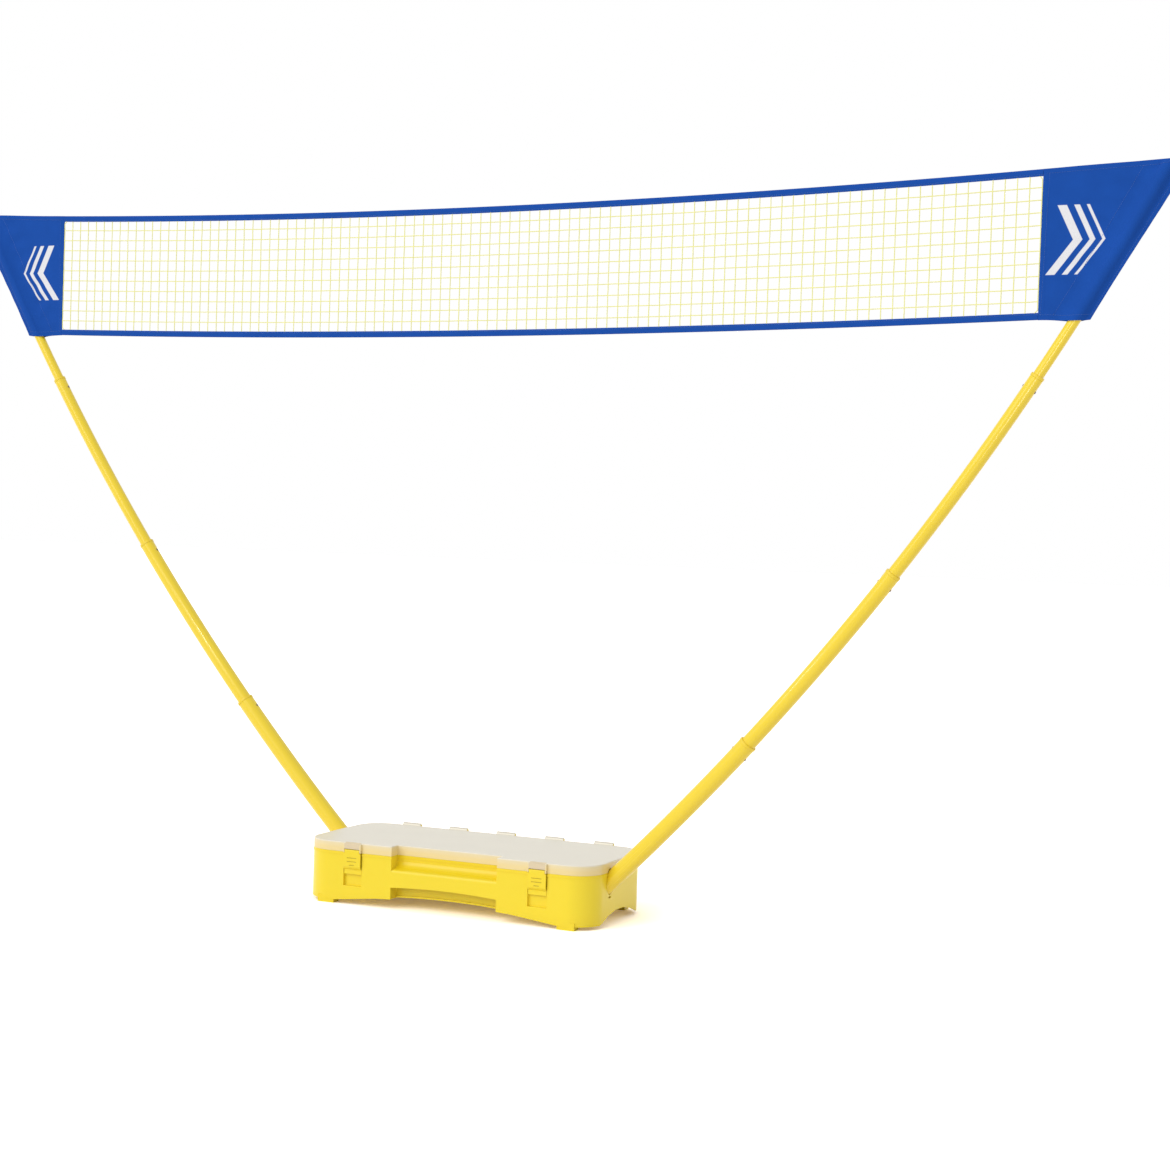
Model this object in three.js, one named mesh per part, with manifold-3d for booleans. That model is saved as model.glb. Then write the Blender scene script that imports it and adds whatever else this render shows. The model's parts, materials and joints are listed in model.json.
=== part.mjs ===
// A free-standing badminton net set: a carry case that serves as the base, two bowed telescopic poles
// that plug into its ends, and a net with fabric end panels stretched between them.
// Millimetres, +Z up. X runs along the net and the case, the grip and the latches face -Y, and the origin
// is on the ground under the middle of the case. The left pole is the right one turned half round.
import * as THREE from "three";
import { mergeVertices } from "three/addons/utils/BufferGeometryUtils.js";
import Module from "manifold-3d";

const wasm = await Module();
wasm.setup();

// Shared clearances: seatGap where pieces rest on each other, runGap where they slide. Joined bodies
// sink into each other by bite, and cutters run past a face by overrun.
const seatGap = 0.3;
const runGap = 0.5;
const bite = 1;
const overrun = 2;
const halfTurn = Math.PI;
const quarterTurn = Math.PI / 2;
const weldShare = 1e-4;
const curveSteps = 3;
const fineCurveSteps = 5;
const barSides = 12;

// Case
const caseLength = 700;
const caseDepth = 304;
const caseCorner = 62;
const caseWall = 3;
const seamHeight = 116;
const lidHeight = 138;
const lidWall = 2.5;
const lidEdge = 2;
const lidSkirtGap = 0.4;
const skirtHeight = 8;
const frontArchRise = 19;
const frontArchSpan = 540;
const endArchRise = 21.5;
const endArchSpan = 200;
const floorHeight = 30;
const ribDepth = 9;
const ribWall = 2.5;
const ribSpacing = 150;
const footLength = 40;
const footDepth = 24;
const footHeight = 16;
const footSetback = 1;
const footCentre = 291;
const rimBeadOut = 1.2;
const rimBeadHeight = 3;
const bevelSteps = 2;

// Carrying grip in the middle of the front
const recessWidth = 256;
const recessDepth = 29;
const gripTop = 88;
const gripBottom = 48;
const gripArchRise = 5;
const gripWall = 3;
const gripShoulder = 8;
const gripCrown = 2;
const scoopTop = 103;
const lipHeight = 4;
const lipOut = 3;

// Latches and their pins
const latchCentre = 224;
const latchWidth = 44;
const latchPlate = 3.4;
const latchProud = 5.8;
const latchBottom = 68;
const latchFlatEnd = 86;
const latchBend = 82;
const latchBendDrop = 4;
const latchSink = 1;
const latchNeck = 2.6;
const latchPivotHeight = 120;
const latchKnuckleRadius = 2.7;
const latchPinRadius = 1.4;
const latchSideGap = 0.6;
const latchGroove = 1.2;
const latchGrooveHeight = 2;
const latchGroovePitch = 8;
const latchGrooveTop = 103.5;
const latchGrooveShares = [0.54, 0.54, 0.28];
const bossEar = 3;
const hoodRise = 4;
const channelDepth = 7;
const channelBottom = 42;
const catchHeight = 92;
const catchOut = 3;
const catchThickness = 3;
const hookHeight = 4;
const hookDrop = 1.2;
const hookWidth = 22;

// Hinge along the back: moulded bars between ears on the base, snap clips on the lid
const hingeCount = 5;
const hingePitch = 122;
const hingeWidth = 46;
const hingeEar = 6;
const hingeEarRadius = 3.9;
const hingeHoodGap = 0.5;
const hingeSideGap = 0.5;
const hingeBarRadius = 2.6;
const hingeClipRadius = 6;
const hingeOut = 6.5;
const hingeDrop = 1;
const hingeEarFoot = 96;
const hingeMouth = 4.2;
const hingeMouthTurn = -60;

// Poles: the centre line is an arc of bowRadius that leaves the end wall at mouthHeight
const poleOffset = 55;
const mouthHeight = 95.5;
const startAngle = THREE.MathUtils.degToRad(44.6);
const bowRadius = 6000;
const poleDiameter = 38;
const poleStep = 5.2;
const poleWall = 1.2;
const socketDepth = 100;
const socketWall = 3;
const socketSteps = 3;
const socketRun = 60;
const mouthClearance = 1.6;
const wellTop = 20;
const drainWidth = 12;
const drainHeight = 4;
const drainDrop = 3;
const firstCollar = 430;
const secondCollar = 896;
const thirdCollar = 1377;
const collarStations = [firstCollar, secondCollar, thirdCollar];
const topSection = 4;
const tipStation = 1836;
const tailLength = 98;
const collarLip = 6;
const collarOut = 1.6;
const collarSpigot = 15;
const guideFlange = 6;
const guideSpigot = 14;
const guideBoreShare = 0.62;
const plugFlange = 4;
const capHeight = 14;
const capOut = 0.6;
const capDomeShares = [[1, 0.5], [0.87, 0.8], [0.5, 1]];
const buttonDrop = 25;
const buttonRadius = 2.5;
const buttonProud = 1.4;
const innerHoleRadius = 4;
const outerHoleRadius = 3.8;
const springTab = 3.5;
const springLength = 48;
const springWidth = 5;
const springThickness = 0.8;
const springInset = 0.9;
const poleSides = 16;
const poleSteps = 5;
const cutterSteps = 2;
const holeSides = 8;

// Net
const netTopHalf = 1490;
const netTopHeight = 1584;
const netBottomHalf = 1310;
const netBottomHeight = 1282;
const netTopSag = 36;
const netBottomSag = 20;
const netTurnIn = 1270;
const panelInner = 1209;
const bandHeight = 14;
const bandThickness = 3;
const twineWidth = 2.4;
const twineThickness = 1.6;
const meshColumns = 40;
const meshRows = 5;
const bandSteps = 24;
const panelThickness = 2.2;
const panelColumns = 13;
const panelRows = 6;
const pocketGap = 1.3;
const pocketFabric = 1.2;
const pocketFlare = 2.2;
const pocketTopGap = 2;
const flatColumnsShare = 0.25;
const flatWidthShare = 0.55;
const pocketSlopeShare = 1.1;

// Colours
const caseYellow = 0xf7dd3e;
const lidHaze = 0xe6e1d4;
const poleYellow = 0xf2d62e;
const springSteel = 0x8f8f8c;
const netCord = 0xf6f3b4;
const bandBlue = 0x2a56a8;
const panelBlue = 0x2553a6;
const pinSteel = 0xa8a8a4;

// Closed mesh to solid and back
function solidOf(geometry) {
  const bare = geometry.clone();
  bare.deleteAttribute("normal");
  bare.deleteAttribute("uv");
  const merged = mergeVertices(bare, weldShare);
  return new wasm.Manifold(
    new wasm.Mesh({
      numProp: 3,
      vertProperties: new Float32Array(merged.attributes.position.array),
      triVerts: new Uint32Array(merged.index.array),
    }),
  );
}

function geometryOf(solid) {
  const mesh = solid.getMesh();
  const geometry = new THREE.BufferGeometry();
  geometry.setAttribute("position", new THREE.BufferAttribute(mesh.vertProperties, 3));
  geometry.setIndex(new THREE.BufferAttribute(mesh.triVerts, 1));
  return geometry;
}

function extruded(shape, depth, curveSegments = curveSteps) {
  return new THREE.ExtrudeGeometry(shape, { depth, bevelEnabled: false, curveSegments });
}

// A shape in (x, y) raised from z = low to z = high
function raised(shape, low, high, curveSegments) {
  return solidOf(extruded(shape, high - low, curveSegments).translate(0, 0, low));
}

// A shape in (y, z) run along X from low to high
function alongX(shape, low, high, curveSegments) {
  const turn = new THREE.Matrix4().makeBasis(
    new THREE.Vector3(0, 1, 0),
    new THREE.Vector3(0, 0, 1),
    new THREE.Vector3(1, 0, 0),
  );
  return solidOf(extruded(shape, high - low, curveSegments).applyMatrix4(turn).translate(low, 0, 0));
}

// A shape in (x, z) run along Y from low to high
function alongY(shape, low, high, curveSegments) {
  const turn = new THREE.Matrix4().makeBasis(
    new THREE.Vector3(1, 0, 0),
    new THREE.Vector3(0, 0, 1),
    new THREE.Vector3(0, -1, 0),
  );
  return solidOf(extruded(shape, high - low, curveSegments).applyMatrix4(turn).translate(0, high, 0));
}

function block(x0, x1, y0, y1, z0, z1) {
  const box = new THREE.BoxGeometry(x1 - x0, y1 - y0, z1 - z0);
  return solidOf(box.translate((x0 + x1) / 2, (y0 + y1) / 2, (z0 + z1) / 2));
}

// A round bar along X
function roundBar(radius, x0, x1, y, z) {
  const bar = new THREE.CylinderGeometry(radius, radius, x1 - x0, barSides);
  return solidOf(bar.rotateZ(quarterTurn).translate((x0 + x1) / 2, y, z));
}

function polygon(points) {
  return new THREE.Shape(points.map(([a, b]) => new THREE.Vector2(a, b)));
}

// Case plan: a rounded rectangle with the grip's recess in its front edge
function caseOutline(inset, withRecess = true) {
  const x = caseLength / 2 - inset;
  const y = caseDepth / 2 - inset;
  const r = caseCorner - inset;
  const recessX = recessWidth / 2 + inset;
  const recessY = recessDepth - caseDepth / 2 + inset;
  const shape = new THREE.Shape();
  shape.moveTo(r - x, -y);
  if (withRecess) {
    shape.lineTo(-recessX, -y);
    shape.lineTo(-recessX, recessY);
    shape.lineTo(recessX, recessY);
    shape.lineTo(recessX, -y);
  }
  shape.absarc(x - r, r - y, r, -quarterTurn, 0);
  shape.absarc(x - r, y - r, r, 0, quarterTurn);
  shape.absarc(r - x, y - r, r, quarterTurn, halfTurn);
  shape.absarc(r - x, r - y, r, halfTurn, halfTurn + quarterTurn);
  return shape;
}

function archShape(span, rise) {
  const shape = new THREE.Shape();
  shape.moveTo(-span / 2, -overrun);
  shape.lineTo(-span / 2, skirtHeight);
  shape.quadraticCurveTo(0, skirtHeight + 2 * rise, span / 2, skirtHeight);
  shape.lineTo(span / 2, -overrun);
  return shape;
}

// Height of the front skirt's arched edge at x
function archHeight(x) {
  return skirtHeight + frontArchRise * (1 - (2 * x / frontArchSpan) ** 2);
}

function hingeCentres() {
  return Array.from({ length: hingeCount }, (_, i) => (i - (hingeCount - 1) / 2) * hingePitch);
}

const hingeY = caseDepth / 2 + hingeOut;
const hingeZ = lidHeight - hingeDrop;
const frontY = -caseDepth / 2;
const latchPivotY = frontY - latchProud + latchKnuckleRadius;
const channelHalf = latchWidth / 2 + latchSideGap;
const channelBackY = frontY + channelDepth;

// Base: a tub on a skirt that is arched between four feet
function caseBase() {
  const halfX = caseLength / 2;
  const halfY = caseDepth / 2;
  const floorTop = floorHeight + caseWall;
  let base = raised(caseOutline(0), skirtHeight, seamHeight);
  const beadTop = seamHeight - rimBeadHeight;
  base = base.add(raised(caseOutline(-rimBeadOut), beadTop - rimBeadHeight, beadTop));
  base = base.subtract(raised(caseOutline(caseWall), floorTop, seamHeight + overrun));
  base = base.subtract(raised(caseOutline(caseWall), -overrun, floorHeight));
  for (const x of [-ribSpacing, 0, ribSpacing]) {
    const front = (Math.abs(x) < recessWidth / 2 ? recessDepth - halfY : -halfY) + caseWall / 2;
    const back = halfY - caseWall / 2;
    const low = floorHeight - ribDepth;
    base = base.add(block(x - ribWall / 2, x + ribWall / 2, front, back, low, floorHeight + bite));
  }
  const sideArch = archShape(frontArchSpan, frontArchRise);
  const endArch = alongX(
    archShape(endArchSpan, endArchRise), halfX - 4 * caseWall, halfX + overrun, fineCurveSteps,
  );
  base = base.subtract(alongY(sideArch, -halfY - overrun, halfY + overrun, fineCurveSteps));
  base = base.subtract(endArch).subtract(endArch.mirror([1, 0, 0]));
  for (const sideX of [-1, 1]) {
    for (const sideY of [-1, 1]) {
      const x = sideX * footCentre;
      const outer = sideY * (halfY - footSetback);
      const inner = sideY * (halfY - footSetback - footDepth);
      const y0 = Math.min(outer, inner);
      const y1 = Math.max(outer, inner);
      base = base.add(block(x - footLength / 2, x + footLength / 2, y0, y1, 0, footHeight));
    }
  }
  base = base.add(gripBar());
  for (const side of [-1, 1]) base = withLatchChannel(base, side * latchCentre);
  for (const x of hingeCentres()) base = base.add(hingeEars(x));
  for (const turn of [0, halfTurn]) base = withPoleMouth(base, turn);
  return base;
}

// The grip: a face flush with the wings, scooped above and open from below for the fingers
function gripBar() {
  const wallY = frontY + recessDepth;
  const inner = frontY + gripWall;
  const behind = wallY + caseWall / 2;
  const underside = gripTop - gripWall;
  const halfX = recessWidth / 2 + caseWall / 2;
  const shape = new THREE.Shape();
  shape.moveTo(behind, scoopTop);
  shape.lineTo(wallY - bite, scoopTop);
  shape.quadraticCurveTo(wallY - gripWall, gripTop + gripCrown, frontY + gripShoulder, gripTop);
  shape.quadraticCurveTo(frontY, gripTop, frontY, gripTop - gripShoulder);
  shape.lineTo(frontY, gripBottom);
  shape.lineTo(inner, gripBottom);
  shape.lineTo(inner, gripTop - gripShoulder);
  shape.quadraticCurveTo(inner, underside, frontY + gripShoulder, underside);
  shape.lineTo(wallY - gripShoulder, underside);
  shape.lineTo(behind, gripTop);
  let bar = alongX(shape, -halfX, halfX);
  const arch = new THREE.Shape();
  arch.moveTo(-recessWidth / 2, gripBottom - overrun);
  arch.lineTo(-recessWidth / 2, gripBottom);
  arch.quadraticCurveTo(0, gripBottom + 2 * gripArchRise, recessWidth / 2, gripBottom);
  arch.lineTo(recessWidth / 2, gripBottom - overrun);
  bar = bar.subtract(alongY(arch, frontY - overrun, inner + overrun, fineCurveSteps));
  // lower lip along the arched edge of the wall behind
  const lip = new THREE.Shape();
  const edge = recessWidth / 2 + caseWall / 2;
  const low = archHeight(edge);
  const rise = archHeight(0) - low;
  lip.moveTo(-edge, low);
  lip.quadraticCurveTo(0, low + 2 * rise, edge, low);
  lip.lineTo(edge, low + lipHeight);
  lip.quadraticCurveTo(0, low + 2 * rise + lipHeight, -edge, low + lipHeight);
  return bar.add(alongY(lip, wallY - lipOut, wallY + caseWall / 2, fineCurveSteps));
}

// The channel that a latch lies in, with its catch and the finger pocket below
function withLatchChannel(base, x) {
  const low = channelBottom - caseWall;
  const backY = channelBackY + caseWall;
  const wide = channelHalf + caseWall;
  let out = base.add(block(x - wide, x + wide, frontY + bite, backY, low, seamHeight));
  const left = x - channelHalf;
  const right = x + channelHalf;
  out = out.subtract(
    block(left, right, frontY - overrun, channelBackY, channelBottom, seamHeight + overrun),
  );
  const half = hookWidth / 2;
  const catchY = channelBackY - catchOut;
  const catchTop = catchHeight + catchThickness;
  return out.add(block(x - half, x + half, catchY, channelBackY + bite, catchHeight, catchTop));
}

// Two ears on the back wall with a moulded bar between them
function hingeEars(x) {
  const half = hingeWidth / 2;
  const wallY = caseDepth / 2;
  const shape = new THREE.Shape();
  shape.moveTo(wallY - bite, hingeEarFoot);
  shape.lineTo(wallY - bite, seamHeight - rimBeadHeight);
  shape.lineTo(hingeY - hingeEarRadius, seamHeight - rimBeadHeight);
  shape.lineTo(hingeY - hingeEarRadius, hingeZ);
  shape.absarc(hingeY, hingeZ, hingeEarRadius, halfTurn, 0, true);
  shape.lineTo(hingeY + hingeEarRadius, seamHeight - rimBeadHeight);
  let ears = alongX(shape, x - half, x - half + hingeEar);
  ears = ears.add(alongX(shape, x + half - hingeEar, x + half));
  return ears.add(roundBar(hingeBarRadius, x - half + bite, x + half - bite, hingeY, hingeZ));
}

// The hole that a pole passes in the end wall and the floor, and the drain slot under it
function withPoleMouth(base, turn) {
  const mouthRadius = poleDiameter / 2 + mouthClearance;
  const wellRadius = poleDiameter / 2 + runGap + socketWall + seatGap;
  const cut = poleCutter(mouthRadius, -socketRun, socketRun);
  const well = poleCutter(wellRadius, -socketDepth - socketRun, -wellTop);
  const keepIn = block(0, caseLength / 2 - 2 * caseWall, -caseDepth, caseDepth, -caseDepth, seamHeight);
  const under = poleCentre(0).z - mouthRadius / Math.cos(startAngle) - drainDrop;
  const slot = block(
    caseLength / 2 - 2 * caseWall, caseLength / 2 + overrun,
    -drainWidth / 2, drainWidth / 2, under - drainHeight, under,
  );
  let all = cut.add(well.intersect(keepIn)).add(slot);
  all = all.translate([0, -poleOffset, 0]).rotate([0, 0, THREE.MathUtils.radToDeg(turn)]);
  return base.subtract(all);
}

// Lid: a shallow see-through cover that repeats the recess, with latch bosses and hinge clips
function caseLid() {
  const low = seamHeight + seatGap;
  const lower = lidHeight - lidEdge;
  let lid = raised(caseOutline(0), low, lower);
  lid = lid.add(bevelledCap());
  lid = lid.subtract(raised(caseOutline(lidWall), low - overrun, lidHeight - lidWall));
  for (const side of [-1, 1]) lid = lid.add(latchBoss(side * latchCentre));
  for (const x of hingeCentres()) lid = lid.add(hingeClip(x));
  for (const x of hingeCentres()) lid = lid.subtract(clipBore(x));
  for (const turn of [0, halfTurn]) {
    const cut = poleCutter(poleDiameter / 2 + mouthClearance, -socketRun, socketRun);
    lid = lid.subtract(cut.translate([0, -poleOffset, 0]).rotate([0, 0, THREE.MathUtils.radToDeg(turn)]));
  }
  return lid;
}

// The top plate with its eased edge
function bevelledCap() {
  const shape = caseOutline(lidEdge);
  const cap = new THREE.ExtrudeGeometry(shape, {
    depth: lidWall,
    bevelEnabled: true,
    bevelThickness: lidEdge,
    bevelSize: lidEdge,
    bevelSegments: bevelSteps,
    curveSegments: curveSteps,
  });
  const whole = solidOf(cap.translate(0, 0, lidHeight - lidEdge - lidWall));
  const low = lidHeight - lidEdge - bite;
  return whole.intersect(block(-caseLength, caseLength, -caseDepth, caseDepth, low, lidHeight + overrun));
}

function latchBoss(x) {
  const half = latchWidth / 2;
  const outY = frontY - latchProud;
  const inner = half - bossEar;
  const hoodTop = latchPivotHeight + hoodRise;
  let boss = block(x - half, x + half, outY, frontY + bite, seamHeight + seatGap, lidHeight - lidEdge);
  boss = boss.subtract(block(x - inner, x + inner, outY - overrun, frontY, seamHeight - overrun, hoodTop));
  return boss.subtract(
    roundBar(latchPinRadius + seatGap, x - half - overrun, x + half + overrun, latchPivotY, latchPivotHeight),
  );
}

// The clip between the ears, and a hood over both ears that stays clear of them through the lid's swing
function hingeClip(x) {
  const half = hingeWidth / 2 - hingeEar - hingeSideGap;
  const wide = hingeWidth / 2;
  const wallY = caseDepth / 2 - bite;
  const low = hingeZ - hingeClipRadius + bite;
  const clear = hingeEarRadius + hingeHoodGap;
  const knuckle = (reach) =>
    block(x - reach, x + reach, wallY, hingeY, low, hingeZ + bite)
      .add(roundBar(hingeClipRadius, x - reach, x + reach, hingeY, hingeZ));
  const quarter = block(x - wide, x + wide, wallY, hingeY, low, hingeZ + hingeClipRadius);
  const hood = knuckle(wide)
    .intersect(quarter)
    .subtract(roundBar(clear, x - wide - overrun, x + wide + overrun, hingeY, hingeZ))
    .subtract(block(x - wide - overrun, x + wide + overrun, hingeY - clear, hingeY + overrun, 0, hingeZ));
  return knuckle(half).add(hood);
}

// The clip's bore and the mouth it snaps on through, which faces down and back
function clipBore(x) {
  const half = hingeWidth / 2;
  const bore = roundBar(hingeBarRadius + seatGap, x - half, x + half, hingeY, hingeZ);
  const mouth = block(-half, half, 0, 2 * hingeClipRadius, -hingeMouth / 2, hingeMouth / 2);
  const aimed = mouth.rotate([hingeMouthTurn, 0, 0]).translate([x, hingeY, hingeZ]);
  const inner = hingeWidth / 2 - hingeEar - hingeSideGap / 2;
  const nearY = caseDepth / 2 + lidSkirtGap;
  return bore.add(aimed).intersect(block(x - inner, x + inner, nearY, caseDepth, 0, 2 * lidHeight));
}

// Latch: a lever that hangs from the lid's boss, stands proud at the top and sinks into its channel below
function latch() {
  const half = latchWidth / 2 - latchSideGap;
  const knuckleHalf = latchWidth / 2 - bossEar - latchSideGap;
  const outY = frontY - latchProud;
  const innerY = outY + latchPlate;
  const lowY = frontY + latchSink;
  const backY = lowY + latchPlate;
  const shoulder = latchPivotHeight - latchKnuckleRadius - latchNeck;
  const shape = new THREE.Shape();
  shape.moveTo(outY, shoulder);
  shape.lineTo(outY, latchFlatEnd);
  shape.quadraticCurveTo(outY, latchBend, lowY, latchBend - latchBendDrop);
  shape.lineTo(lowY, latchBottom);
  shape.lineTo(backY, latchBottom);
  shape.lineTo(backY, latchBend - latchBendDrop);
  shape.quadraticCurveTo(innerY, latchBend, innerY, latchFlatEnd);
  shape.lineTo(innerY, shoulder);
  let lever = alongX(shape, -half, half);
  const neck = block(-knuckleHalf, knuckleHalf, outY, latchPivotY + bite, shoulder - bite, latchPivotHeight);
  lever = lever.add(neck);
  lever = lever.add(roundBar(latchKnuckleRadius, -knuckleHalf, knuckleHalf, latchPivotY, latchPivotHeight));
  lever = lever.subtract(
    roundBar(latchPinRadius + seatGap, -half - overrun, half + overrun, latchPivotY, latchPivotHeight),
  );
  // hook under the catch, kept clear of it by the seat gap
  const hookY = channelBackY - catchOut - seatGap;
  const hookTop = catchHeight - hookDrop;
  const hookHalf = hookWidth / 2;
  lever = lever.add(block(-hookHalf, hookHalf, outY + latchPlate / 2, hookY, hookTop - hookHeight, hookTop));
  latchGrooveShares.forEach((share, i) => {
    const z = latchGrooveTop - i * latchGroovePitch;
    const wide = share * latchWidth / 2;
    lever = lever.subtract(block(-wide, wide, outY - overrun, outY + latchGroove, z, z + latchGrooveHeight));
  });
  return lever;
}

function latchPin() {
  const half = latchWidth / 2;
  return roundBar(latchPinRadius, -half, half, latchPivotY, latchPivotHeight);
}

// Pole geometry: arc length s from the end wall, in the pole's own plane y = 0
function poleAngle(s) {
  return startAngle + s / bowRadius;
}

function poleCentre(s) {
  const angle = poleAngle(s);
  return new THREE.Vector3(
    caseLength / 2 + bowRadius * (Math.sin(angle) - Math.sin(startAngle)),
    0,
    mouthHeight + bowRadius * (Math.cos(startAngle) - Math.cos(angle)),
  );
}

class PoleArc extends THREE.Curve {
  constructor(from, to) {
    super();
    this.from = from;
    this.to = to;
  }

  getPoint(t, target = new THREE.Vector3()) {
    return target.copy(poleCentre(this.from + t * (this.to - this.from)));
  }
}

// Turns a piece built along its own +Y into the pole's line at s, with its +X towards the bow's centre
function poleFrame(s) {
  const angle = poleAngle(s);
  const along = new THREE.Vector3(Math.cos(angle), 0, Math.sin(angle));
  const inward = new THREE.Vector3(-Math.sin(angle), 0, Math.cos(angle));
  const frame = new THREE.Matrix4().makeBasis(inward, along, new THREE.Vector3(0, 1, 0));
  return frame.setPosition(poleCentre(s));
}

// A round tube along the pole from one station to another, solid where inner is zero
function sweptTube(outer, inner, from, to, steps = poleSteps) {
  const shape = new THREE.Shape();
  shape.absarc(0, 0, outer, 0, 2 * halfTurn);
  if (inner > 0) {
    const hole = new THREE.Path();
    hole.absarc(0, 0, inner, 0, 2 * halfTurn, true);
    shape.holes.push(hole);
  }
  const extrudePath = new PoleArc(from, to);
  return solidOf(new THREE.ExtrudeGeometry(shape, { steps, extrudePath, curveSegments: poleSides / 2 }));
}

function poleCutter(radius, from, to) {
  return sweptTube(radius, 0, from, to, cutterSteps);
}

// A revolved piece on the pole's line; the profile is radius and height along the pole from s
function turned(profile, s) {
  const points = profile.map(([r, h]) => new THREE.Vector2(r, h));
  return solidOf(new THREE.LatheGeometry(points, poleSides).applyMatrix4(poleFrame(s)));
}

// Outer radius of section n, 1 being the lowest
function sectionOuter(n) {
  return (poleDiameter - (n - 1) * poleStep) / 2;
}

function sectionInner(n) {
  return sectionOuter(n) - poleWall;
}

// Where section n starts and ends along the pole
function sectionFrom(n) {
  return n === 1 ? -socketDepth : collarStations[n - 2] - tailLength;
}

function sectionTo(n) {
  return n === topSection ? tipStation : collarStations[n - 1];
}

// Round hole through both walls at s, across the bow's plane of bending
function crossHole(radius, s) {
  const pin = new THREE.CylinderGeometry(radius, radius, 2 * poleDiameter, holeSides);
  return solidOf(pin.rotateZ(quarterTurn).applyMatrix4(poleFrame(s)));
}

function buttonStation(n) {
  return collarStations[n - 2] - buttonDrop;
}

function section(n) {
  let tube = sweptTube(sectionOuter(n), sectionInner(n), sectionFrom(n), sectionTo(n));
  if (n > 1) tube = tube.subtract(crossHole(innerHoleRadius, buttonStation(n)));
  if (n < topSection) tube = tube.subtract(crossHole(outerHoleRadius, buttonStation(n + 1)));
  return tube;
}

// Collar pressed into the upper end of section n, which guides section n + 1
function collar(n) {
  const lipOuter = sectionOuter(n) + collarOut;
  const bore = sectionOuter(n + 1) + runGap;
  const spigot = sectionInner(n) - seatGap;
  const top = seatGap + collarLip;
  const profile = [
    [bore, -collarSpigot], [spigot, -collarSpigot], [spigot, seatGap], [lipOuter, seatGap],
    [lipOuter, top], [bore, top], [bore, -collarSpigot],
  ];
  return turned(profile, sectionTo(n));
}

// Guide bush in the tail of section n, which runs in the bore of section n - 1
function guideBush(n) {
  const flange = sectionInner(n - 1) - runGap;
  const spigot = sectionInner(n) - seatGap;
  const bore = guideBoreShare * sectionInner(n);
  const profile = [
    [bore, -guideFlange - seatGap], [flange, -guideFlange - seatGap], [flange, -seatGap],
    [spigot, -seatGap], [spigot, guideSpigot], [bore, guideSpigot], [bore, -guideFlange - seatGap],
  ];
  return turned(profile, sectionFrom(n));
}

function footPlug() {
  const spigot = sectionInner(1) - seatGap;
  const flange = sectionOuter(1);
  const profile = [
    [0, -plugFlange - seatGap], [flange, -plugFlange - seatGap], [flange, -seatGap],
    [spigot, -seatGap], [spigot, guideSpigot], [0, guideSpigot],
  ];
  return turned(profile, sectionFrom(1));
}

function tipCap() {
  const spigot = sectionInner(topSection) - seatGap;
  const outer = sectionOuter(topSection) + capOut;
  const profile = [
    [0, -guideSpigot], [spigot, -guideSpigot], [spigot, seatGap], [outer, seatGap],
    ...capDomeShares.map(([r, h]) => [r * outer, h * capHeight]), [0, capHeight],
  ];
  return turned(profile, tipStation);
}

// One leg of a V spring with its button; side is +1 towards the bow's centre
function springLeg(n, side) {
  const reach = sectionInner(n) - springInset;
  const half = springThickness / 2;
  const root = half + seatGap / 2;
  const leaf = polygon([
    [root - half, -springLength], [root + half, -springLength], [reach, 0],
    [reach, springTab], [reach - springThickness, springTab], [reach - springThickness, 0],
  ]);
  const strip = extruded(leaf, springWidth).translate(0, 0, -springWidth / 2);
  const tip = sectionOuter(n - 1) + buttonProud;
  const button = new THREE.CylinderGeometry(buttonRadius, buttonRadius, tip - reach + half, holeSides);
  button.rotateZ(quarterTurn).translate((tip + reach - half) / 2, 0, 0);
  let leg = solidOf(strip).add(solidOf(button));
  if (side < 0) leg = leg.rotate([0, THREE.MathUtils.radToDeg(halfTurn), 0]);
  return solidOf(geometryOf(leg).applyMatrix4(poleFrame(buttonStation(n))));
}

// Tube moulded into the case's end that holds the lowest section
function socket() {
  const outer = poleDiameter / 2 + runGap + socketWall;
  const inner = poleDiameter / 2 + runGap;
  const bottom = -socketDepth - plugFlange - 2 * seatGap;
  const tube = sweptTube(outer, 0, bottom - socketWall, socketRun, socketSteps);
  const bore = sweptTube(inner, 0, bottom, socketRun + overrun, socketSteps);
  const reach = caseLength / 2 - caseWall - seatGap;
  const inside = block(0, reach, -caseDepth, caseDepth, -caseDepth, seamHeight);
  return tube.subtract(bore).intersect(inside);
}

// Net surface: it runs straight between the poles' planes and lies in a pole's own plane at each end
function netY(x) {
  return -poleOffset * THREE.MathUtils.clamp(x / netTurnIn, -1, 1);
}

function netTop(x) {
  return netTopHeight - netTopSag * (1 - (x / netTopHalf) ** 2);
}

function netBottom(x) {
  return netBottomHeight - netBottomSag * (1 - (x / netBottomHalf) ** 2);
}

// Band folded over an edge of the mesh; edge(x) is its outer edge and side says which way it lies
function band(edge, side) {
  const half = panelInner - seatGap;
  const rings = [];
  for (let i = 0; i <= bandSteps; i += 1) {
    const x = half * (2 * i / bandSteps - 1);
    const y = netY(x);
    const near = edge(x);
    const far = near + side * bandHeight;
    const low = Math.min(near, far);
    const high = Math.max(near, far);
    const t = bandThickness / 2;
    rings.push([[x, y - t, low], [x, y + t, low], [x, y + t, high], [x, y - t, high]]);
  }
  return lofted(rings);
}

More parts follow.
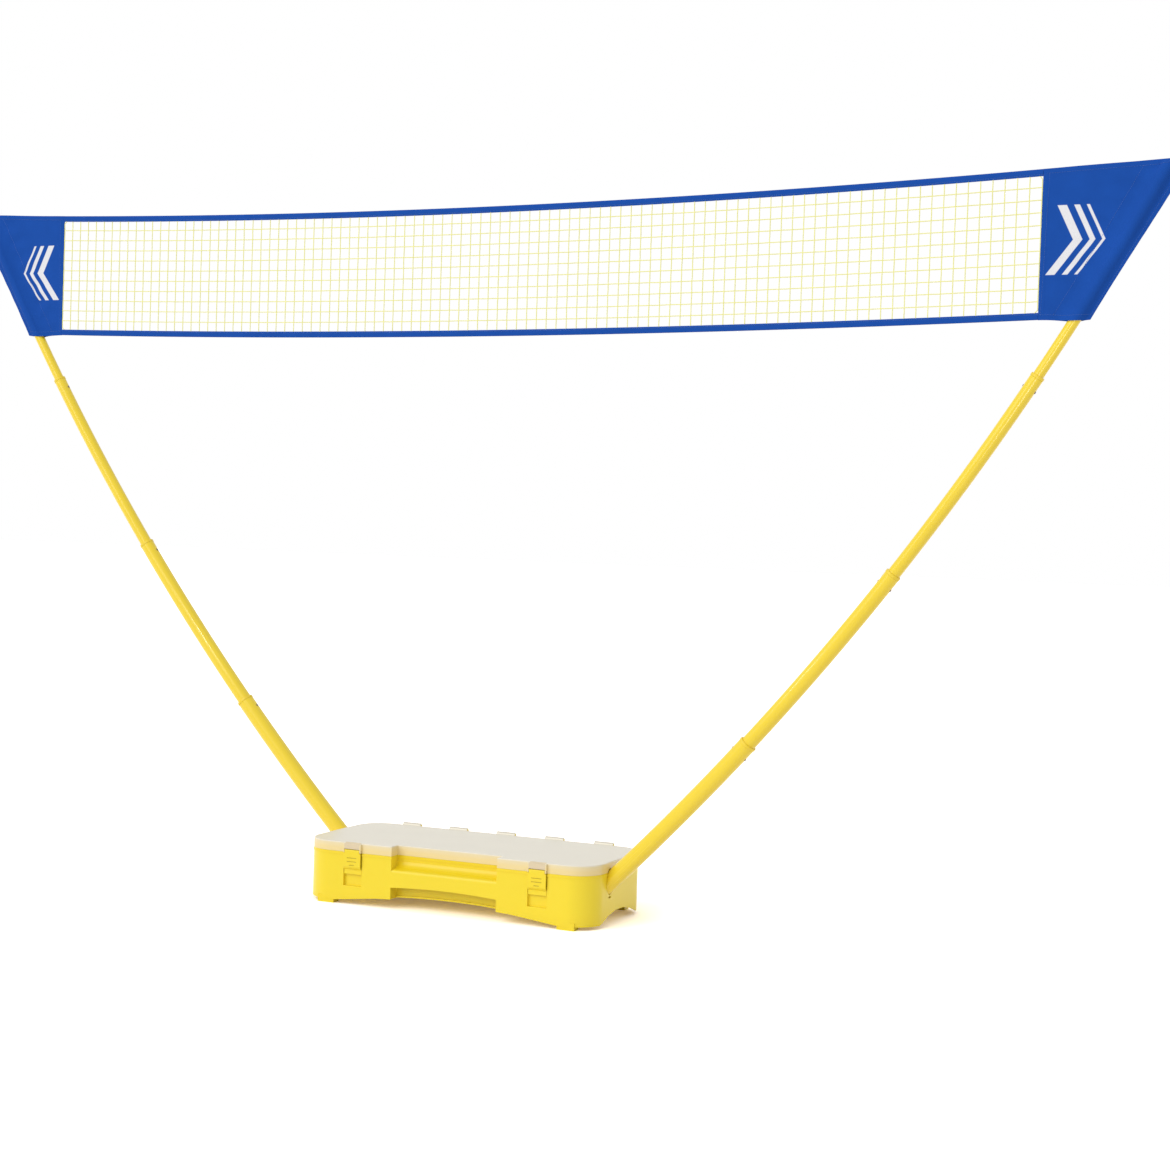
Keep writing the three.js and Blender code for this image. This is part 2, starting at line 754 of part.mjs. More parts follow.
// Closed body through rings of equal length, each wound anticlockwise seen from +X
function lofted(rings) {
  const count = rings[0].length;
  const positions = rings.flat(2);
  const index = [];
  for (let i = 0; i + 1 < rings.length; i += 1) {
    for (let j = 0; j < count; j += 1) {
      const a = i * count + j;
      const b = i * count + (j + 1) % count;
      index.push(a, a + count, b, b, a + count, b + count);
    }
  }
  const last = (rings.length - 1) * count;
  for (let j = 1; j + 1 < count; j += 1) {
    index.push(0, j, j + 1);
    index.push(last, last + j + 1, last + j);
  }
  const geometry = new THREE.BufferGeometry();
  geometry.setAttribute("position", new THREE.Float32BufferAttribute(positions, 3));
  geometry.setIndex(index.reverse());
  return geometry;
}

// Square-holed net between the bands: a junction at each crossing and a strand to each neighbour
function netMesh() {
  const half = panelInner - seatGap;
  const positions = [];
  const index = [];
  const at = new Map();
  const low = (x) => netBottom(x) + bandHeight + seatGap;
  const high = (x) => netTop(x) - bandHeight - seatGap;
  for (let i = 0; i <= meshColumns; i += 1) {
    for (let j = 0; j <= meshRows; j += 1) {
      const mid = (half - twineWidth / 2) * (2 * i / meshColumns - 1);
      const share = j / meshRows;
      const corners = [];
      for (const back of [-1, 1]) {
        for (const [du, dv] of [[-1, -1], [1, -1], [1, 1], [-1, 1]]) {
          const x = mid + du * twineWidth / 2;
          const from = low(x) + twineWidth / 2;
          const z = from + share * (high(x) - twineWidth / 2 - from) + dv * twineWidth / 2;
          corners.push(positions.length / 3);
          positions.push(x, netY(x) + back * twineThickness / 2, z);
        }
      }
      at.set(i * (meshRows + 1) + j, corners);
    }
  }
  const quad = (a, b, c, d) => index.push(a, b, c, a, c, d);
  const junction = (i, j) => at.get(i * (meshRows + 1) + j);
  for (let i = 0; i <= meshColumns; i += 1) {
    for (let j = 0; j <= meshRows; j += 1) {
      const p = junction(i, j);
      quad(p[0], p[1], p[2], p[3]);
      quad(p[5], p[4], p[7], p[6]);
      if (i === 0) quad(p[0], p[3], p[7], p[4]);
      if (i === meshColumns) quad(p[2], p[1], p[5], p[6]);
      if (j === 0) quad(p[1], p[0], p[4], p[5]);
      if (j === meshRows) quad(p[3], p[2], p[6], p[7]);
      if (i < meshColumns) {
        const q = junction(i + 1, j);
        quad(p[1], q[0], q[3], p[2]);
        quad(q[4], p[5], p[6], q[7]);
        quad(p[5], q[4], q[0], p[1]);
        quad(p[2], q[3], q[7], p[6]);
      }
      if (j < meshRows) {
        const q = junction(i, j + 1);
        quad(p[3], p[2], q[1], q[0]);
        quad(p[6], p[7], q[4], q[5]);
        quad(p[7], p[3], q[0], q[4]);
        quad(p[2], p[6], q[5], q[1]);
      }
    }
  }
  const geometry = new THREE.BufferGeometry();
  geometry.setAttribute("position", new THREE.Float32BufferAttribute(positions, 3));
  geometry.setIndex(index);
  return geometry;
}

// Distance from a point of the pole's plane to its centre line, positive towards the bow's centre
function offsetFromPole(x, z) {
  const centreX = caseLength / 2 - bowRadius * Math.sin(startAngle);
  const centreZ = mouthHeight + bowRadius * Math.cos(startAngle);
  return bowRadius - Math.hypot(x - centreX, z - centreZ);
}

// Fabric end panel: two layers sewn at the slanted edge, swelling round the pole's pocket
function netPanel() {
  const swell = sectionOuter(topSection) + pocketGap + pocketFabric;
  const edgeX = (z) => {
    const share = (z - netBottomHeight) / (netTopHeight - netBottomHeight);
    return netBottomHalf + share * (netTopHalf - netBottomHalf);
  };
  const thick = (x, z) => {
    const away = Math.abs(offsetFromPole(x, z));
    const flank = pocketFlare * swell;
    if (away > flank) return panelThickness / 2;
    const crown = Math.sqrt(Math.max(0, swell ** 2 - away ** 2));
    const tent = panelThickness / 2 + (flank - away) * swell / (flank + pocketSlopeShare * swell);
    return Math.max(crown, Math.min(tent, swell), panelThickness / 2);
  };
  // columns are drawn closer over the pocket
  const across = (i) => {
    const t = i / panelColumns;
    if (t < flatColumnsShare) return t * flatWidthShare / flatColumnsShare;
    const rest = (t - flatColumnsShare) / (1 - flatColumnsShare);
    return flatWidthShare + rest * (1 - flatWidthShare);
  };
  const grid = (sign) => {
    const rows = [];
    for (let j = 0; j <= panelRows; j += 1) {
      const v = j / panelRows;
      const row = [];
      for (let i = 0; i <= panelColumns; i += 1) {
        const u = across(i);
        const outer = edgeX(netBottomHeight + v * (netTopHeight - netBottomHeight));
        const x = panelInner + u * (outer - panelInner);
        const z = netBottom(x) + v * (netTop(x) - netBottom(x));
        row.push([x, netY(x) + sign * thick(x, z), z]);
      }
      rows.push(row);
    }
    return rows;
  };
  const front = grid(-1);
  const back = grid(1);
  const positions = [...front.flat(), ...back.flat()].flat();
  const width = panelColumns + 1;
  const layer = width * (panelRows + 1);
  const index = [];
  const quad = (a, b, c, d) => index.push(a, b, c, a, c, d);
  for (let j = 0; j < panelRows; j += 1) {
    for (let i = 0; i < panelColumns; i += 1) {
      const a = j * width + i;
      quad(a, a + 1, a + 1 + width, a + width);
      quad(layer + a + 1, layer + a, layer + a + width, layer + a + 1 + width);
    }
  }
  for (let i = 0; i < panelColumns; i += 1) {
    quad(i + 1, i, layer + i, layer + i + 1);
    const a = panelRows * width + i;
    quad(a, a + 1, layer + a + 1, layer + a);
  }
  for (let j = 0; j < panelRows; j += 1) {
    const a = j * width;
    quad(a, a + width, layer + a + width, layer + a);
    const b = a + panelColumns;
    quad(b + width, b, layer + b, layer + b + width);
  }
  const geometry = new THREE.BufferGeometry();
  geometry.setAttribute("position", new THREE.Float32BufferAttribute(positions, 3));
  geometry.setIndex(index);
  const pocket = sectionOuter(topSection) + pocketGap;
  const top = tipStation + capHeight + pocketTopGap;
  const bore = sweptTube(pocket, 0, thirdCollar + collarLip, top);
  return solidOf(geometry).subtract(bore.translate([0, -poleOffset, 0]));
}

// Scene graph
const finish = (color, roughness, metalness = 0, extra = {}) =>
  new THREE.MeshStandardMaterial({ color, roughness, metalness, ...extra });

const root = new THREE.Group();
// the latches reach furthest forward and the hinge clips furthest back
root.position.y = -(hingeY + hingeClipRadius + frontY - latchProud) / 2;

function add(parent, name, solid, material) {
  const geometry = solid.isBufferGeometry ? solid : geometryOf(solid);
  const mesh = new THREE.Mesh(geometry, material);
  mesh.name = name;
  parent.add(mesh);
  return mesh;
}

const caseFinish = finish(caseYellow, 0.42);
add(root, "case_base", caseBase(), caseFinish);
add(root, "case_lid", caseLid(), finish(lidHaze, 0.35, 0, { transparent: true, opacity: 0.7 }));

for (const [side, sign] of [["left", -1], ["right", 1]]) {
  add(root, `latch_${side}`, latch(), finish(caseYellow, 0.4)).position.x = sign * latchCentre;
  add(root, `latch_pin_${side}`, latchPin(), finish(pinSteel, 0.35, 1)).position.x = sign * latchCentre;
}

for (const [side, turn] of [["right", 0], ["left", halfTurn]]) {
  const pole = new THREE.Group();
  pole.rotation.z = turn;
  pole.position.y = turn ? poleOffset : -poleOffset;
  root.add(pole);
  const plastic = finish(poleYellow, 0.3);
  add(pole, `socket_${side}`, socket(), caseFinish);
  add(pole, `pole_${side}_foot_plug`, footPlug(), plastic);
  for (let n = 1; n <= topSection; n += 1) add(pole, `pole_${side}_section_${n}`, section(n), plastic);
  for (let n = 1; n < topSection; n += 1) add(pole, `pole_${side}_collar_${n}`, collar(n), plastic);
  for (let n = 2; n <= topSection; n += 1) {
    add(pole, `pole_${side}_guide_${n}`, guideBush(n), plastic);
    add(pole, `pole_${side}_button_${n}_inner`, springLeg(n, 1), finish(springSteel, 0.35, 1));
    add(pole, `pole_${side}_button_${n}_outer`, springLeg(n, -1), finish(springSteel, 0.35, 1));
  }
  add(pole, `pole_${side}_tip_cap`, tipCap(), plastic);
}

add(root, "net_mesh", netMesh(), finish(netCord, 0.8));
add(root, "net_top_band", band(netTop, -1), finish(bandBlue, 0.85));
add(root, "net_bottom_band", band(netBottom, 1), finish(bandBlue, 0.85));
for (const [side, turn] of [["right", 0], ["left", halfTurn]]) {
  add(root, `net_panel_${side}`, netPanel(), finish(panelBlue, 0.85)).rotation.z = turn;
}

export default root;
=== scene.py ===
"""The looks of a free-standing badminton net set: a carry case as its base, two bowed poles and a net."""

import json
import math

import bmesh
import bpy
from mathutils import Matrix, Vector


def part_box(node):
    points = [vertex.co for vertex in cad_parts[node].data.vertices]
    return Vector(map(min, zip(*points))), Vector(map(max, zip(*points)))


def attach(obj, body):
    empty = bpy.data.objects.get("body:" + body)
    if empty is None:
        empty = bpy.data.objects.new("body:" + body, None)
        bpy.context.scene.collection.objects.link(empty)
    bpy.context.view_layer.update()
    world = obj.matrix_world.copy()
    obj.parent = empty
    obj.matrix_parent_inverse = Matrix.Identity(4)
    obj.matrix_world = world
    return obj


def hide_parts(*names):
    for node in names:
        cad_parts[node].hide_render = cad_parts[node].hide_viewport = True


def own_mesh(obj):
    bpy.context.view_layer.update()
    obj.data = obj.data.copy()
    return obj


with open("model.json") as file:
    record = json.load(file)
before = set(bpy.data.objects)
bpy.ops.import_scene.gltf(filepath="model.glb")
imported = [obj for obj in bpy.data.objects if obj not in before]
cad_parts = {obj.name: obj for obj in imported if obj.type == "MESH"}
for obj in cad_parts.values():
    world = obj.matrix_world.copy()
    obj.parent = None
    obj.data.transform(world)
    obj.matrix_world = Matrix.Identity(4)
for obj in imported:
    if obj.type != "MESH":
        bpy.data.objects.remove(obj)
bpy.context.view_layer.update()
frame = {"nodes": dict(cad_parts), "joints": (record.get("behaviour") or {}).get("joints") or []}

bl_info = {
    "name": "Badminton net set looks",
    "version": (1, 0, 0),
    "blender": (4, 5, 0),
    "location": "3D View > Sidebar > Net Set",
    "description": "Builds the fine surfaces, cloth, net and finishes round the packed net set",
    "category": "Object",
}

SIDES = ("left", "right")
FACES = (-1, 1)

# Places read from the frame
case_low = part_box("case_base")[0]
case_half_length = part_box("case_lid")[1].x
latch_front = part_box("latch_left")[0].y
band_half_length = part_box("net_top_band")[1].x
panel_low, panel_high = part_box("net_panel_right")
panel_inner = panel_low.x
joint_places = {joint["name"]: Vector(joint["pos_m"]) for joint in frame["joints"]}
bow_centre = joint_places["pole_right_2_telescope"]
middle_y = (bow_centre.y + joint_places["pole_left_2_telescope"].y) / 2
pole_offset = middle_y - bow_centre.y
case_half_depth = middle_y - case_low.y
case_back = middle_y + case_half_depth

# Case, in metres
CASE_CORNER = 0.062
RECESS_HALF = 0.128
RECESS_DEPTH = 0.029
LID_TOP = 0.138
LID_WALL = 0.0025
LATCH_X = 0.224
GROOVE_HEIGHTS = (0.1035, 0.0955, 0.0875)

# Poles, in metres; stations are arc lengths from the case's end wall
SECTIONS = (1, 2, 3, 4)
SLIDING = SECTIONS[1:]
COLLARED = SECTIONS[:-1]
TOP_SECTION = SECTIONS[-1]
BOW_RADIUS = 6.0
SOCKET_DEPTH = 0.1
COLLAR_STATIONS = (0.430, 0.896, 1.377)
TIP_STATION = 1.836
SECTION_TAIL = 0.098
POLE_RADIUS = 0.019
POLE_STEP = 0.0026
POLE_WALL = 0.0012
SEAT = 0.0003
RUN = 0.0005
COLLAR_LIP = 0.006
COLLAR_OUT = 0.0006
COLLAR_SPIGOT = 0.015
CAP_HEIGHT = 0.014
CAP_OUT = 0.0006
CAP_SPIGOT = 0.014
BUTTON_DROP = 0.025
BUTTON_RADIUS = 0.0025
BUTTON_PROUD = 0.0014
BUTTON_DOME = 0.0008
INNER_HOLE = 0.0038
OUTER_HOLE = 0.0032
SPRING_LENGTH = 0.048
SPRING_WIDTH = 0.005
SPRING_THICKNESS = 0.0008
SPRING_INSET = 0.0009
SPRING_TAB = 0.0035
start_angle = math.asin((case_half_length - bow_centre.x) / BOW_RADIUS)

# Net, in metres
NET_TOP_HALF = 1.490
NET_TOP_HEIGHT = 1.584
NET_TOP_SAG = 0.036
NET_BOTTOM_HALF = 1.310
NET_BOTTOM_HEIGHT = 1.282
NET_BOTTOM_SAG = 0.020
NET_TURN_IN = 1.270
BAND_HEIGHT = 0.014
BAND_THICKNESS = 0.003
PANEL_HEIGHT = NET_TOP_HEIGHT - NET_BOTTOM_HEIGHT
PANEL_THICKNESS = 0.0022
POCKET_GAP = 0.0013
POCKET_FABRIC = 0.0012
POCKET_FLANK_IN = 0.040
POCKET_FLANK_OUT = 0.0185
HEM_DROOP = 0.005
THREAD_PROUD = 0.0001
mouth_x = bow_centre.x + math.sqrt(BOW_RADIUS ** 2 - (bow_centre.z - NET_BOTTOM_HEIGHT) ** 2)

# Angles at which an edge stays crisp
CREASE = math.radians(34)
CLOTH_CREASE = math.radians(50)
TAPE_CREASE = math.radians(60)


def length_field(name, description, default, low, high):
    """A length that a user can change, in metres."""
    return bpy.props.FloatProperty(
        name=name, description=description, default=default, min=low, max=high,
        subtype="DISTANCE", unit="LENGTH")


def colour_field(name, description, default):
    """A colour that a user can change."""
    return bpy.props.FloatVectorProperty(
        name=name, description=description, default=default, size=3, min=0.0, max=1.0, subtype="COLOR")


def angle_field(name, description, degrees):
    """An angle that a user can change, given here in degrees."""
    return bpy.props.FloatProperty(
        name=name, description=description, default=math.radians(degrees), subtype="ANGLE", unit="ROTATION")


def strength_field(name, description, default, high):
    """The strength of a light that a user can change."""
    return bpy.props.FloatProperty(name=name, description=description, default=default, min=0.0, max=high)


def count_field(name, description, default, low, high):
    """A whole number that a user can change."""
    return bpy.props.IntProperty(name=name, description=description, default=default, min=low, max=high)


class CaseLooks(bpy.types.PropertyGroup):
    """Rounding and colours of the carry case."""

    edge: length_field("Edge rounding", "Radius of the moulded edges", 0.0009, 0.0002, 0.003)
    lid_edge: length_field("Lid edge rounding", "Radius of the lid's edges", 0.0012, 0.0002, 0.003)
    yellow: colour_field("Case yellow", "Colour of the moulded case", (0.905, 0.715, 0.034))
    haze: colour_field("Lid haze", "Colour of the frosted lid's top", (0.87, 0.82, 0.69))
    haze_rim: colour_field(
        "Lid rim", "Colour of the lid's rim, where the yellow case shows through", (0.93, 0.755, 0.355))
    boss: colour_field("Latch boss", "Colour of the lid's thick latch bosses", (0.79, 0.665, 0.45))


class PoleLooks(bpy.types.PropertyGroup):
    """Fineness and colours of the poles."""

    sides: count_field("Sides", "Sides of each round tube", 56, 16, 96)
    steps: count_field("Steps", "Steps along each bowed tube", 40, 8, 120)
    yellow: colour_field("Pole yellow", "Colour of the glossy tubes", (0.90, 0.675, 0.027))
    fitting: colour_field("Fitting yellow", "Colour of the collars and caps", (0.89, 0.66, 0.026))
    steel: colour_field("Spring steel", "Colour of the snap buttons and pins", (0.20, 0.16, 0.14))


class NetLooks(bpy.types.PropertyGroup):
    """Mesh, cloth and stitching of the net."""

    cell: length_field("Cell", "Width of one square of the net", 0.0245, 0.015, 0.1)
    twine: length_field("Twine", "Thickness of the twine", 0.0021, 0.0005, 0.003)
    knot: length_field("Knot", "Radius of a knot", 0.0013, 0.0005, 0.004)
    sway: length_field("Sway", "How far the twine wanders from a straight line", 0.0012, 0.0, 0.005)
    stitch: length_field("Stitch", "Length of one stitch", 0.0034, 0.001, 0.01)
    stitch_pitch: length_field("Stitch pitch", "Distance from one stitch to the next", 0.0048, 0.002, 0.02)
    cord: colour_field("Twine colour", "Colour of the twine", (0.97, 0.95, 0.33))
    cloth: colour_field("Cloth blue", "Colour of the panels and bands", (0.0125, 0.084, 0.42))
    printed: colour_field("Print", "Colour of the printed chevrons", (0.86, 0.87, 0.9))
    thread: colour_field("Thread", "Colour of the sewing thread", (0.03, 0.12, 0.47))


class StageLooks(bpy.types.PropertyGroup):
    """Camera, lamps and floor."""

    eye: bpy.props.FloatVectorProperty(
        name="Camera place", description="Where the camera stands",
        default=(1.9946, -4.0226, 0.8439), size=3, subtype="TRANSLATION", unit="LENGTH")
    yaw: angle_field("Yaw", "Turn of the camera to the left of the net's normal", 23.529)
    pitch: angle_field("Pitch", "Tilt of the camera above the horizon", -1.587)
    roll: angle_field("Roll", "Roll of the camera", 1.904)
    view_angle: angle_field("View angle", "Angle across the frame", 32.246)
    sky: strength_field("Sky light", "Strength of the light from all round", 0.64, 3.0)
    key: strength_field("Key light", "Strength of the main lamp", 1.3, 10.0)
    glint: strength_field("Glint", "Power of the small lamp that glints on the grip", 2.0, 50.0)
    streak: strength_field("Streak", "Power of the lamp that streaks the right pole's top", 4.0, 100.0)
    floor: colour_field("Floor", "Colour of the floor", (0.93, 0.88, 0.84))
    floor_lift: colour_field(
        "Floor lift", "Second coat of the floor's colour, for the eye and reflections", (0.68, 0.72, 0.76))
    floor_glow: colour_field(
        "Floor glow", "Light from the floor, for the eye and reflections", (0.18, 0.12, 0.07))


class Flow:
    """A socket of a node tree that arithmetic works on, in materials and geometry trees alike."""

    def __init__(self, tree, socket=None):
        self.tree = tree
        self.socket = socket

    def node(self, kind, settings=(), sockets=(), output=0):
        """Adds a node, gives it its settings and then its sockets' values or links."""
        made = self.tree.nodes.new(kind)
        for name, value in dict(settings).items():
            setattr(made, name, value)
        for key, value in dict(sockets).items():
            if isinstance(value, Flow):
                self.tree.links.new(value.socket, made.inputs[key])
            else:
                made.inputs[key].default_value = value
        return Flow(self.tree, made.outputs[output] if len(made.outputs) else None)

    def output(self, name):
        """Another output of the same node."""
        return Flow(self.tree, self.socket.node.outputs[name])

    def math(self, operation, *values, clamp=False):
        """A Math node on this and other values."""
        settings = {"operation": operation, "use_clamp": clamp}
        return self.node("ShaderNodeMath", settings, dict(enumerate(values)))

    def __add__(self, other):
        return self.math("ADD", self, other)

    __radd__ = __add__

    def __sub__(self, other):
        return self.math("SUBTRACT", self, other)

    def __rsub__(self, other):
        return self.math("SUBTRACT", other, self)

    def __mul__(self, other):
        return self.math("MULTIPLY", self, other)

    __rmul__ = __mul__

    def __abs__(self):
        return self.math("ABSOLUTE", self)

    def wave(self, period):
        """A sine from 0 to 1 with that period."""
        half = 0.5
        return self.math("SINE", self * (math.tau / period)) * half + half

    def share(self, low, high):
        """0 below low and 1 above high, clamped between."""
        return self.math("MULTIPLY", self - low, 1 / (high - low), clamp=True)

    def between(self, low, high, soft):
        """1 from low to high, with soft edges."""
        return self.share(low - soft, low + soft) * (1 - self.share(high - soft, high + soft))

    def mixed(self, first, second):
        """The first colour where this is 0 and the second where it is 1."""
        ends = {0: self, 6: colour_of(first), 7: colour_of(second)}
        return self.node("ShaderNodeMix", {"data_type": "RGBA"}, ends, output=2)

    def over(self, base, colour, share):
        """The base, with that share of a colour laid over it where this is 1."""
        return (self * share).mixed(base, colour)


def colour_of(value):
    """A colour for a socket, from three numbers or a link."""
    return value if isinstance(value, Flow) else (*value, 1.0)


def shaded(colour, factor):
    """The colour made lighter or darker."""
    return tuple(min(1.0, channel * factor) for channel in colour)


def drifting(mask, colour, low, high):
    """The colour times low where the mask is 0, and times high where it is 1."""
    return mask.mixed(shaded(colour, low), shaded(colour, high))


# Finishes


def new_finish(name):
    """An empty node material, with its object coordinates split into x, y and z."""
    material = bpy.data.materials.new(name)
    material.use_nodes = True
    tree = material.node_tree
    tree.nodes.clear()
    start = Flow(tree)
    place = start.node("ShaderNodeTexCoord", output="Object")
    split = start.node("ShaderNodeSeparateXYZ", (), {"Vector": place})
    return material, start, place, (split, split.output("Y"), split.output("Z"))


def noise(start, place, scale, detail=2.0, roughness=0.5):
    """Soft noise from 0 to 1 at so many features a metre."""
    return start.node("ShaderNodeTexNoise", (),
                      {"Vector": place, "Scale": scale, "Detail": detail, "Roughness": roughness})


def stretched(start, place, scale):
    """Coordinates scaled along each axis."""
    return start.node("ShaderNodeMapping", (), {"Vector": place, "Scale": scale})


def bump(start, height, depth):
    """A surface normal raised by height, which runs from 0 to 1, times depth in metres."""
    return start.node("ShaderNodeBump", (), {"Height": height, "Distance": depth, "Strength": 1.0})


def close_finish(material, start, sockets):
    """Ends the material in one principled shader."""
    shader = start.node("ShaderNodeBsdfPrincipled", (), sockets)
    start.node("ShaderNodeOutputMaterial", (), {"Surface": shader})
    return material


def moulded_case_plastic(name, colour):
    """Satin polypropylene: a fine grain, slow colour drift, scuffed feet, painted shade on the floors of
    the latch grooves, and painted shade and bounce light in the grip's scoop.
    """
    scuff_height = 0.03
    grain_depth = 0.00006
    # Painted shade: shares of the case's colour that paint the grip's scoop deeper and more saturated
    scoop_shade_shares = (0.95, 0.9, 0.2)
    material, start, place, (x, y, z) = new_finish(name)
    drift = noise(start, place, scale=5.0)
    grain = noise(start, place, scale=1100.0, detail=3.0)
    scuff = noise(start, place, scale=160.0, detail=4.0, roughness=0.7) * (1 - z.share(0.0, scuff_height))
    deep = [channel * share for channel, share in zip(colour, scoop_shade_shares)]
    base = drifting(drift, colour, low=0.965, high=1.03)
    # Painted shade and painted bounce light in the grip's scoop
    base = painted_scoop_shade(x, y, z).over(base, deep, share=0.85)
    base = scuff.over(base, shaded(colour, 0.72), share=0.35)
    # Painted shade: the floors of the latch grooves are painted darker
    base = latch_groove_shade(x, y, z).over(base, shaded(colour, 0.3), share=0.6)
    return close_finish(material, start, {
        "Base Color": base,
        "Roughness": 0.28 + grain * 0.08 + drift * 0.04,
        "Coat Weight": 0.05,
        "Coat Roughness": 0.3,
        "Specular IOR Level": 0.3,
        "Subsurface Weight": 0.06,
        "Subsurface Radius": (0.006, 0.004, 0.001),
        "Subsurface Scale": 0.5,
        "Normal": bump(start, grain, grain_depth),
    })


def painted_scoop_shade(x, y, z):
    """Mask of the grip's scoop, where painted shade and painted bounce light make the yellow deeper and
    more saturated.
    """
    side_fade = 0.004
    floor = 0.064
    floor_fade = 0.01
    lip = 0.005
    spill = 0.002
    soft = 0.003
    across = 1 - abs(x).share(RECESS_HALF - side_fade, RECESS_HALF)
    deep = y.between(case_low.y + lip, case_low.y + RECESS_DEPTH + spill, soft)
    return across * z.share(floor, floor + floor_fade) * deep


def latch_groove_shade(x, y, z):
    """Mask of the floors of the three grooves in each latch lever, where shade is painted in."""
    near = 0.0004
    far = 0.0016
    half_width = 0.0115
    end_fade = 0.001
    half_height = 0.0011
    soft = 0.0002
    across = 1 - abs(abs(x) - LATCH_X).share(half_width, half_width + end_fade)
    inside = (y - latch_front).between(near, far, soft) * across
    bands = [z.between(height - half_height, height + half_height, soft) for height in GROOVE_HEIGHTS]
    return inside * sum(bands)


def frosted_lid_plastic(name, looks):
    """See-through plastic with a frosted top, a rim tinted by the case, thick smoky latch bosses and
    painted shade on the hinge clips.
    """
    rim_height = 0.014
    frost_depth = 0.00005
    material, start, place, (x, y, z) = new_finish(name)
    frost = noise(start, place, scale=700.0, detail=4.0, roughness=0.6)
    cloud = noise(start, place, scale=9.0)
    top, boss, clip_shade = lid_parts(x, y, z)
    haze = drifting(cloud, looks.haze, low=0.97, high=1.03)
    rim = z.share(LID_TOP - rim_height, LID_TOP).over(looks.haze_rim, haze, share=0.5)
    base = start.math("MAXIMUM", top, within_rim(x, y)).mixed(rim, haze)
    base = boss.mixed(base, looks.boss)
    # Painted shade: the hinge clips behind the case are painted darker
    base = clip_shade.mixed(base, shaded(looks.haze, 0.8))
    return close_finish(material, start, {
        "Base Color": base,
        "Roughness": 0.3 + frost * 0.16 + cloud * 0.05,
        "Alpha": 0.88 + top * 0.05 + frost * 0.04,
        "Coat Weight": 0.12,
        "Coat Roughness": 0.25,
        "IOR": 1.49,
        "Normal": bump(start, frost, frost_depth),
    })


def lid_parts(x, y, z):
    """Masks of the lid's flat top, its latch bosses and its hinge clips, where shade is painted in."""
    top_start = 0.0036
    top_full = 0.001
    boss_half = 0.0185
    boss_fade = 0.001
    boss_full = 0.0045
    boss_end = 0.0065
    clip_start = 0.0004
    clip_full = 0.0012
    top = z.share(LID_TOP - top_start, LID_TOP - top_full)
    beside = 1 - abs(abs(x) - LATCH_X).share(boss_half, boss_half + boss_fade)
    boss = beside * (1 - y.share(case_low.y + boss_full, case_low.y + boss_end))
    clip_shade = y.share(case_back + clip_start, case_back + clip_full)
    return top, boss, clip_shade


def within_rim(x, y):
    """Mask of what lies inside the lid's rim, seen from above."""
    clear = 0.0001
    soft = 0.0006
    across = abs(x) - (case_half_length - CASE_CORNER)
    deep = abs(y - middle_y) - (case_half_depth - CASE_CORNER)
    beyond = [side.math("MAXIMUM", side, 0.0) for side in (across, deep)]
    corner = x.math("SQRT", beyond[0] * beyond[0] + beyond[1] * beyond[1])
    inner = x.math("MINIMUM", x.math("MAXIMUM", across, deep), 0.0)
    edge = CASE_CORNER - corner - inner
    recess_side = RECESS_HALF + LID_WALL
    recess_back = case_low.y + RECESS_DEPTH + LID_WALL
    beside = abs(x).share(recess_side, recess_side + soft)
    behind = y.share(recess_back, recess_back + soft)
    return edge.share(LID_WALL + clear, LID_WALL + clear + soft) * x.math("MAXIMUM", beside, behind)


def along_bow(start, x, y, z, scale):
    """Coordinates that follow the bow: along it, across it and sideways, each scaled."""
    beyond = abs(x) - bow_centre.x
    below = bow_centre.z - z
    far = start.math("SQRT", beyond * beyond + below * below) - BOW_RADIUS
    turn = start.math("ARCTAN2", beyond, below) * BOW_RADIUS
    along, across, sideways = scale
    return start.node("ShaderNodeCombineXYZ", (), {"X": turn * along, "Y": far * across, "Z": y * sideways})


def drawn_tube_plastic(name, colour):
    """Glossy tube with faint lengthwise drawing lines and hairline rubbing from sliding."""
    line_scale = (2.5, 260.0, 260.0)
    rub_scale = (6.0, 700.0, 700.0)
    rub_start = 0.62
    rub_full = 0.72
    line_depth = 0.00001
    material, start, place, (x, y, z) = new_finish(name)
    lines = noise(start, along_bow(start, x, y, z, line_scale), scale=1.0)
    drift = noise(start, place, scale=7.0)
    rub = noise(start, along_bow(start, x, y, z, rub_scale), scale=1.0).share(rub_start, rub_full)
    base = drifting(drift, colour, low=0.97, high=1.03)
    return close_finish(material, start, {
        "Base Color": rub.over(base, shaded(colour, 1.18), share=0.2),
        "Roughness": 0.22 + lines * 0.06 + rub * 0.08,
        "Coat Weight": 0.3,
        "Coat Roughness": 0.12,
        "Specular IOR Level": 0.36,
        "Normal": bump(start, lines, line_depth),
    })


def turned_fitting_plastic(name, colour):
    """Collars and caps: a duller moulding with a fine grain."""
    grain_depth = 0.00007
    material, start, place, _ = new_finish(name)
    grain = noise(start, place, scale=900.0, detail=3.0)
    drift = noise(start, place, scale=30.0)
    return close_finish(material, start, {
        "Base Color": drifting(drift, colour, low=0.94, high=1.03),
        "Roughness": 0.34 + grain * 0.12,
        "Coat Weight": 0.15,
        "Coat Roughness": 0.25,
        "Normal": bump(start, grain, grain_depth),
    })


def sprung_steel(name, colour):
    """Bright steel with fine brushing."""
    brush_scale = (260.0, 260.0, 2600.0)
    brush_depth = 0.00004
    material, start, place, _ = new_finish(name)
    brush = noise(start, stretched(start, place, brush_scale), scale=1.0, detail=3.0)
    return close_finish(material, start, {
        "Base Color": drifting(brush, colour, low=0.86, high=1.1),
        "Metallic": 1.0,
        "Roughness": 0.26 + brush * 0.16,
        "Normal": bump(start, brush, brush_depth),
    })


